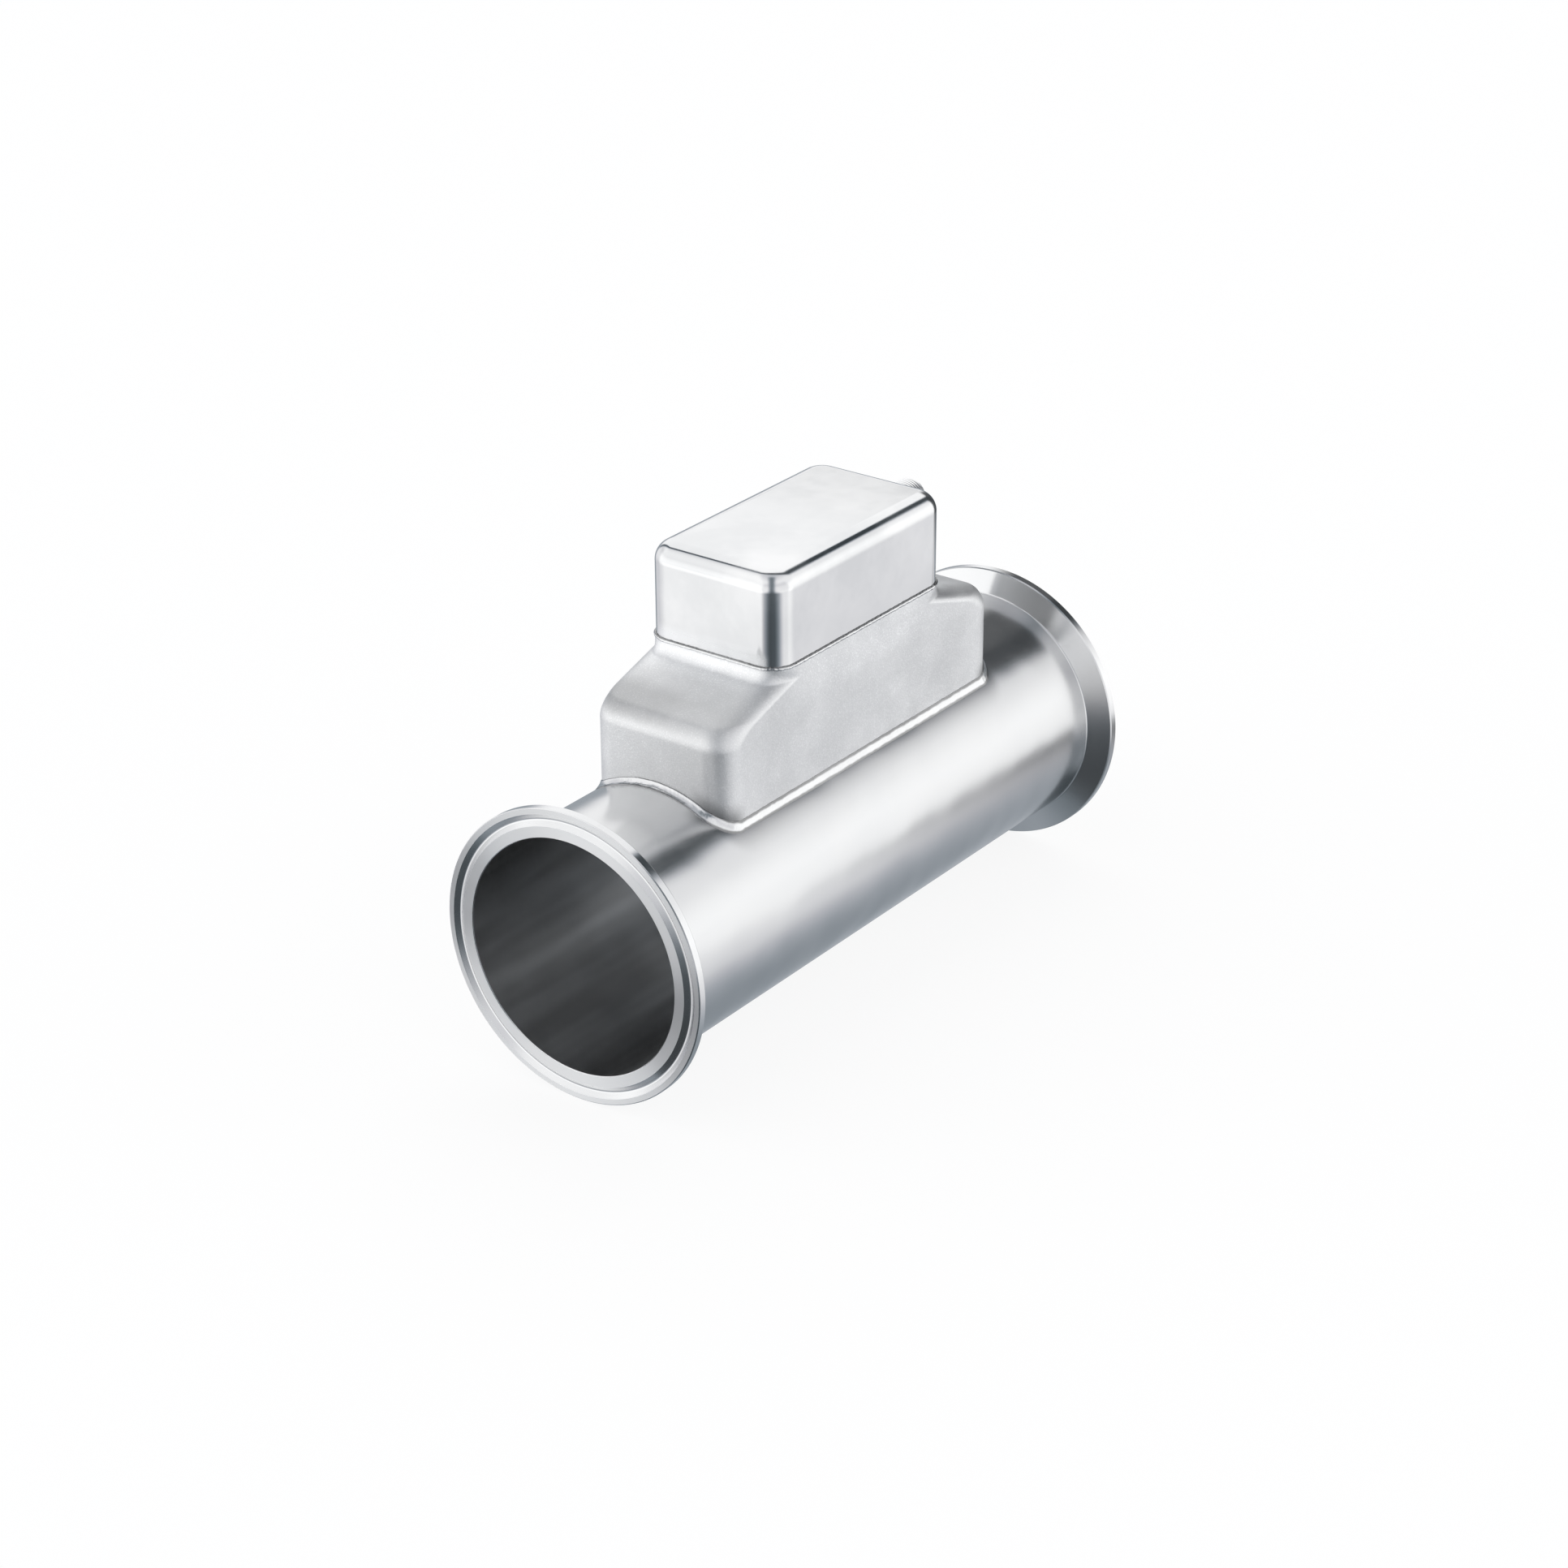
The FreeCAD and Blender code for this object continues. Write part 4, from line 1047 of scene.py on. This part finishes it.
# Edges of the studio's fields: a place and its softness. Pairs named for a height, a foot or a top are in
# degrees; the other places are the share of a ray that points that way.
FRONT_GAIN = 0.30
FRONT_HEIGHT = (-8.0, -8.0)
FRONT_AHEAD = (0.0, -0.3)

LEFT_GAIN = 0.14
LEFT_HEIGHT = (25.0, 15.0)
LEFT_ACROSS = (0.58, 0.08)

CROSS_AZIMUTH = math.radians(52.5)
CROSS_SHARE = 0.76
CROSS_OFF = (0.55, 0.11)
CROSS_FOOT = (-24.0, 8.0)
CROSS_TOP = (34.0, -10.0)

CAMERA_GAP_LEVEL = 0.22
CAMERA_GAP_HALF = (0.20, -0.14)
CAMERA_GAP_AHEAD = (-0.27, -0.13)

DARK_FLOOR_AZIMUTH = math.radians(218)
DARK_FLOOR_HEIGHT = math.radians(-44)
DARK_FLOOR_CORE = math.radians(17)
DARK_FLOOR_EDGE = math.radians(45)
DARK_FLOOR_LEVEL = 0.11

BACK_LOW_LEVEL = 0.40
BACK_LOW_TOP = (8.0, -8.0)
BACK_LOW_FOOT = (-32.0, 8.0)
BACK_LOW_LEFT = (0.56, -0.1)
BACK_LOW_RIGHT = (-0.62, 0.1)
BACK_LOW_AHEAD = (0.3, 0.1)

PANEL_AZIMUTH = math.radians(36.3)
PANEL_LEVEL = 1.27
PANEL_FOOT = (6.0, 8.0)
PANEL_LEFT = 0.49
PANEL_RIGHT = 0.50
PANEL_TOP = 0.18
PANEL_SOFT = 0.08
GAP_LEVEL = 0.07
GAP_LEFT = 0.60
GAP_RIGHT = 0.75
GAP_TOP = -0.04
GAP_SOFT = 0.10
ARCH_START = 0.45
ARCH_AHEAD = (-0.45, 0.1)

FLOOR_SIZE = 12.0
FLOOR_WHITE = (0.96, 0.96, 0.96, 1)
FLOOR_ROUGHNESS = 0.9
FLOOR_GLOW = 1.02
FLOOR_GLOW_SHARE = 0.86

# Cards: place, turn in degrees, size, share of each side that is soft, strength and lightness.
DARK_CARD = 0.065
LIGHT_CARD = 0.7
CARD_TINT = 0.08
CARDS = {
    "far_card": ((0.20, -0.012, 0.105), (0, -90, 0), (0.21, 0.17), (0.2, 0.25), 0.95, DARK_CARD),
    "side_card": ((-0.2, -0.065, -0.215), (0, 90, 0), (0.61, 0.16), (0.41, 0.25), 0.9, DARK_CARD),
    # The floor card is a painted shadow: a dark sheet on the floor beside the object, seen only in the
    # steel's gloss.
    "floor_painted_shadow_card": ((0.21, -0.105, -RIM_R), (0, 0, 0), (0.34, 0.15), (0.5, 0.5), 0.75, DARK_CARD),
    "cap_card": ((0.305, 0.165, 0.205), (180, 0, 0), (0.19, 0.21), (0.25, 0.1), 0.24, DARK_CARD),
    "hub_card": ((0.05, -0.14, -0.105), (0, 90, 0), (0.11, 0.11), (0.3, 0.3), 0.9, LIGHT_CARD),
}


def along(tree, ray, azimuth, height=0.0):
    """Share of a ray that points in a direction."""
    direction = (math.cos(azimuth) * math.cos(height), math.sin(azimuth) * math.cos(height), math.sin(height))
    share = node(tree, "ShaderNodeVectorMath", {0: ray, 1: direction}, operation="DOT_PRODUCT")
    return share.outputs["Value"]


def toward(tree, level, target, where):
    """Level drawn to the target where the mask is one."""
    change = maths(tree, "SUBTRACT", target, level)
    return maths(tree, "ADD", level, maths(tree, "MULTIPLY", change, where))


def raised(tree, level, gain, where):
    """Level raised by a share of itself where the mask is one."""
    return maths(tree, "ADD", level, maths(tree, "MULTIPLY", maths(tree, "MULTIPLY", level, where), gain))


def edge(tree, value, place, soft):
    """One above the place and nothing below it, or the other way round for a negative softness."""
    return mask(tree, value, place - soft, place + soft)


def arch(tree, left, ahead, left_reach, right_reach, top, soft):
    """One inside an upright shape with a round top, as seen from the object."""
    half = (left_reach + right_reach) / 2
    across = maths(tree, "DIVIDE", maths(tree, "SUBTRACT", left, left_reach - half), half)
    over = maths(tree, "MAXIMUM", maths(tree, "SUBTRACT", ARCH_START, ahead), 0.0)
    over = maths(tree, "DIVIDE", over, ARCH_START - top)
    reach = maths(tree, "SQRT", maths(
        tree, "ADD", maths(tree, "MULTIPLY", across, across), maths(tree, "MULTIPLY", over, over)))
    return overlap(tree, edge(tree, reach, 1.0, -soft), edge(tree, ahead, *ARCH_AHEAD))


def studio_level(tree, ray):
    """Lightness of the studio in the direction of a ray."""
    height = maths(tree, "DEGREES", maths(tree, "ARCSINE", axes(tree, ray)[2]))
    ahead = along(tree, ray, PANEL_AZIMUTH)
    left = along(tree, ray, PANEL_AZIMUTH + math.pi / 2)
    level = maths(tree, "ADD", STUDIO_LEVELS[0][1], 0.0)
    for (low, from_level), (high, to_level) in zip(STUDIO_LEVELS, STUDIO_LEVELS[1:]):
        rise = node(tree, "ShaderNodeMapRange", {
            "Value": height, "From Min": low, "From Max": high,
            "To Min": 0.0, "To Max": to_level - from_level})
        level = maths(tree, "ADD", level, rise.outputs["Result"])

    level = raised(tree, level, FRONT_GAIN, overlap(
        tree, edge(tree, height, *FRONT_HEIGHT), edge(tree, ahead, *FRONT_AHEAD)))
    level = raised(tree, level, LEFT_GAIN, overlap(
        tree, edge(tree, height, *LEFT_HEIGHT), edge(tree, left, *LEFT_ACROSS)))

    off = maths(tree, "ABSOLUTE", along(tree, ray, CROSS_AZIMUTH))
    level = toward(tree, level, maths(tree, "MULTIPLY", level, CROSS_SHARE), overlap(
        tree, edge(tree, off, *CROSS_OFF), edge(tree, height, *CROSS_FOOT), edge(tree, height, *CROSS_TOP)))
    level = toward(tree, level, CAMERA_GAP_LEVEL, overlap(
        tree, edge(tree, maths(tree, "ABSOLUTE", left), *CAMERA_GAP_HALF),
        edge(tree, ahead, *CAMERA_GAP_AHEAD)))
    floor = along(tree, ray, DARK_FLOOR_AZIMUTH, DARK_FLOOR_HEIGHT)
    level = toward(tree, level, DARK_FLOOR_LEVEL, mask(
        tree, floor, math.cos(DARK_FLOOR_EDGE), math.cos(DARK_FLOOR_CORE)))
    level = toward(tree, level, BACK_LOW_LEVEL, overlap(
        tree, edge(tree, height, *BACK_LOW_TOP), edge(tree, height, *BACK_LOW_FOOT),
        edge(tree, left, *BACK_LOW_LEFT), edge(tree, left, *BACK_LOW_RIGHT),
        edge(tree, ahead, *BACK_LOW_AHEAD)))

    above = edge(tree, height, *PANEL_FOOT)
    level = toward(tree, level, GAP_LEVEL, overlap(
        tree, above, arch(tree, left, ahead, GAP_LEFT, GAP_RIGHT, GAP_TOP, GAP_SOFT)))
    return toward(tree, level, PANEL_LEVEL, overlap(
        tree, above, arch(tree, left, ahead, PANEL_LEFT, PANEL_RIGHT, PANEL_TOP, PANEL_SOFT)))


def make_studio():
    """White to the camera, and the studio, a little blue in its shade, to all else."""
    world = bpy.data.worlds.new("studio")
    bpy.context.scene.world = world
    world.use_nodes = True
    tree = world.node_tree
    ray = tree.nodes.new("ShaderNodeTexCoord").outputs["Generated"]
    level = studio_level(tree, ray)
    red, blue = (
        maths(tree, "MULTIPLY", level, spread(tree, level, 0.0, bright, share, 1.0))
        for bright, share in (SHADE_RED, SHADE_BLUE))
    light = node(tree, "ShaderNodeCombineColor", {0: red, 1: level, 2: blue}).outputs[0]
    seen = tree.nodes.new("ShaderNodeLightPath").outputs["Is Camera Ray"]
    tree.links.new(blend(tree, seen, light, (1, 1, 1, 1)), tree.nodes["Background"].inputs["Color"])


def make_floor():
    """White floor that keeps a faint shadow."""
    rest_tools()
    bpy.ops.mesh.primitive_plane_add(size=FLOOR_SIZE, location=(0, 0, -RIM_R))
    floor = bpy.context.object
    floor.name = "floor"
    floor.visible_glossy = False
    floor.visible_diffuse = False
    finish = bpy.data.materials.new("floor_white")
    finish.use_nodes = True
    tree = finish.node_tree
    shader = tree.nodes["Principled BSDF"]
    shader.inputs["Base Color"].default_value = FLOOR_WHITE
    shader.inputs["Roughness"].default_value = FLOOR_ROUGHNESS
    shader.inputs["Specular IOR Level"].default_value = 0.0
    glow = node(tree, "ShaderNodeEmission", {"Color": (1, 1, 1, 1), "Strength": FLOOR_GLOW})
    mix = node(tree, "ShaderNodeMixShader", {
        0: FLOOR_GLOW_SHARE, 1: shader.outputs[0], 2: glow.outputs[0]})
    tree.links.new(mix.outputs[0], tree.nodes["Material Output"].inputs["Surface"])
    dress(floor, finish)


def make_card(name, place, turn, size, soft, strength, level):
    """Card with soft edges which only the gloss of the steel sees, and only from its front."""
    rest_tools()
    bpy.ops.mesh.primitive_plane_add(
        size=1, location=place, rotation=[math.radians(part) for part in turn])
    card = bpy.context.object
    card.name = name
    card.scale = (*size, 1)
    card.visible_camera = False
    card.visible_diffuse = False
    card.visible_shadow = False
    finish, tree, _, spot = new_finish(name)
    across = axes(tree, spot)
    behind = tree.nodes.new("ShaderNodeNewGeometry").outputs["Backfacing"]
    seen = maths(tree, "MULTIPLY", maths(tree, "SUBTRACT", 1.0, behind), strength)
    for axis, rim in enumerate(soft):
        seen = overlap(tree, seen, mask(tree, maths(tree, "ABSOLUTE", across[axis]), 0.5, 0.5 - rim))
    shade = node(tree, "ShaderNodeEmission", {"Color": grey(level, CARD_TINT), "Strength": 1.0})
    clear = tree.nodes.new("ShaderNodeBsdfTransparent")
    mix = node(tree, "ShaderNodeMixShader", {0: seen, 1: clear.outputs[0], 2: shade.outputs[0]})
    tree.links.new(mix.outputs[0], tree.nodes["Material Output"].inputs["Surface"])
    dress(card, finish)


make_studio()
make_floor()
for name, values in CARDS.items():
    make_card(name, *values)

bpy.context.scene.view_settings.view_transform = "Standard"
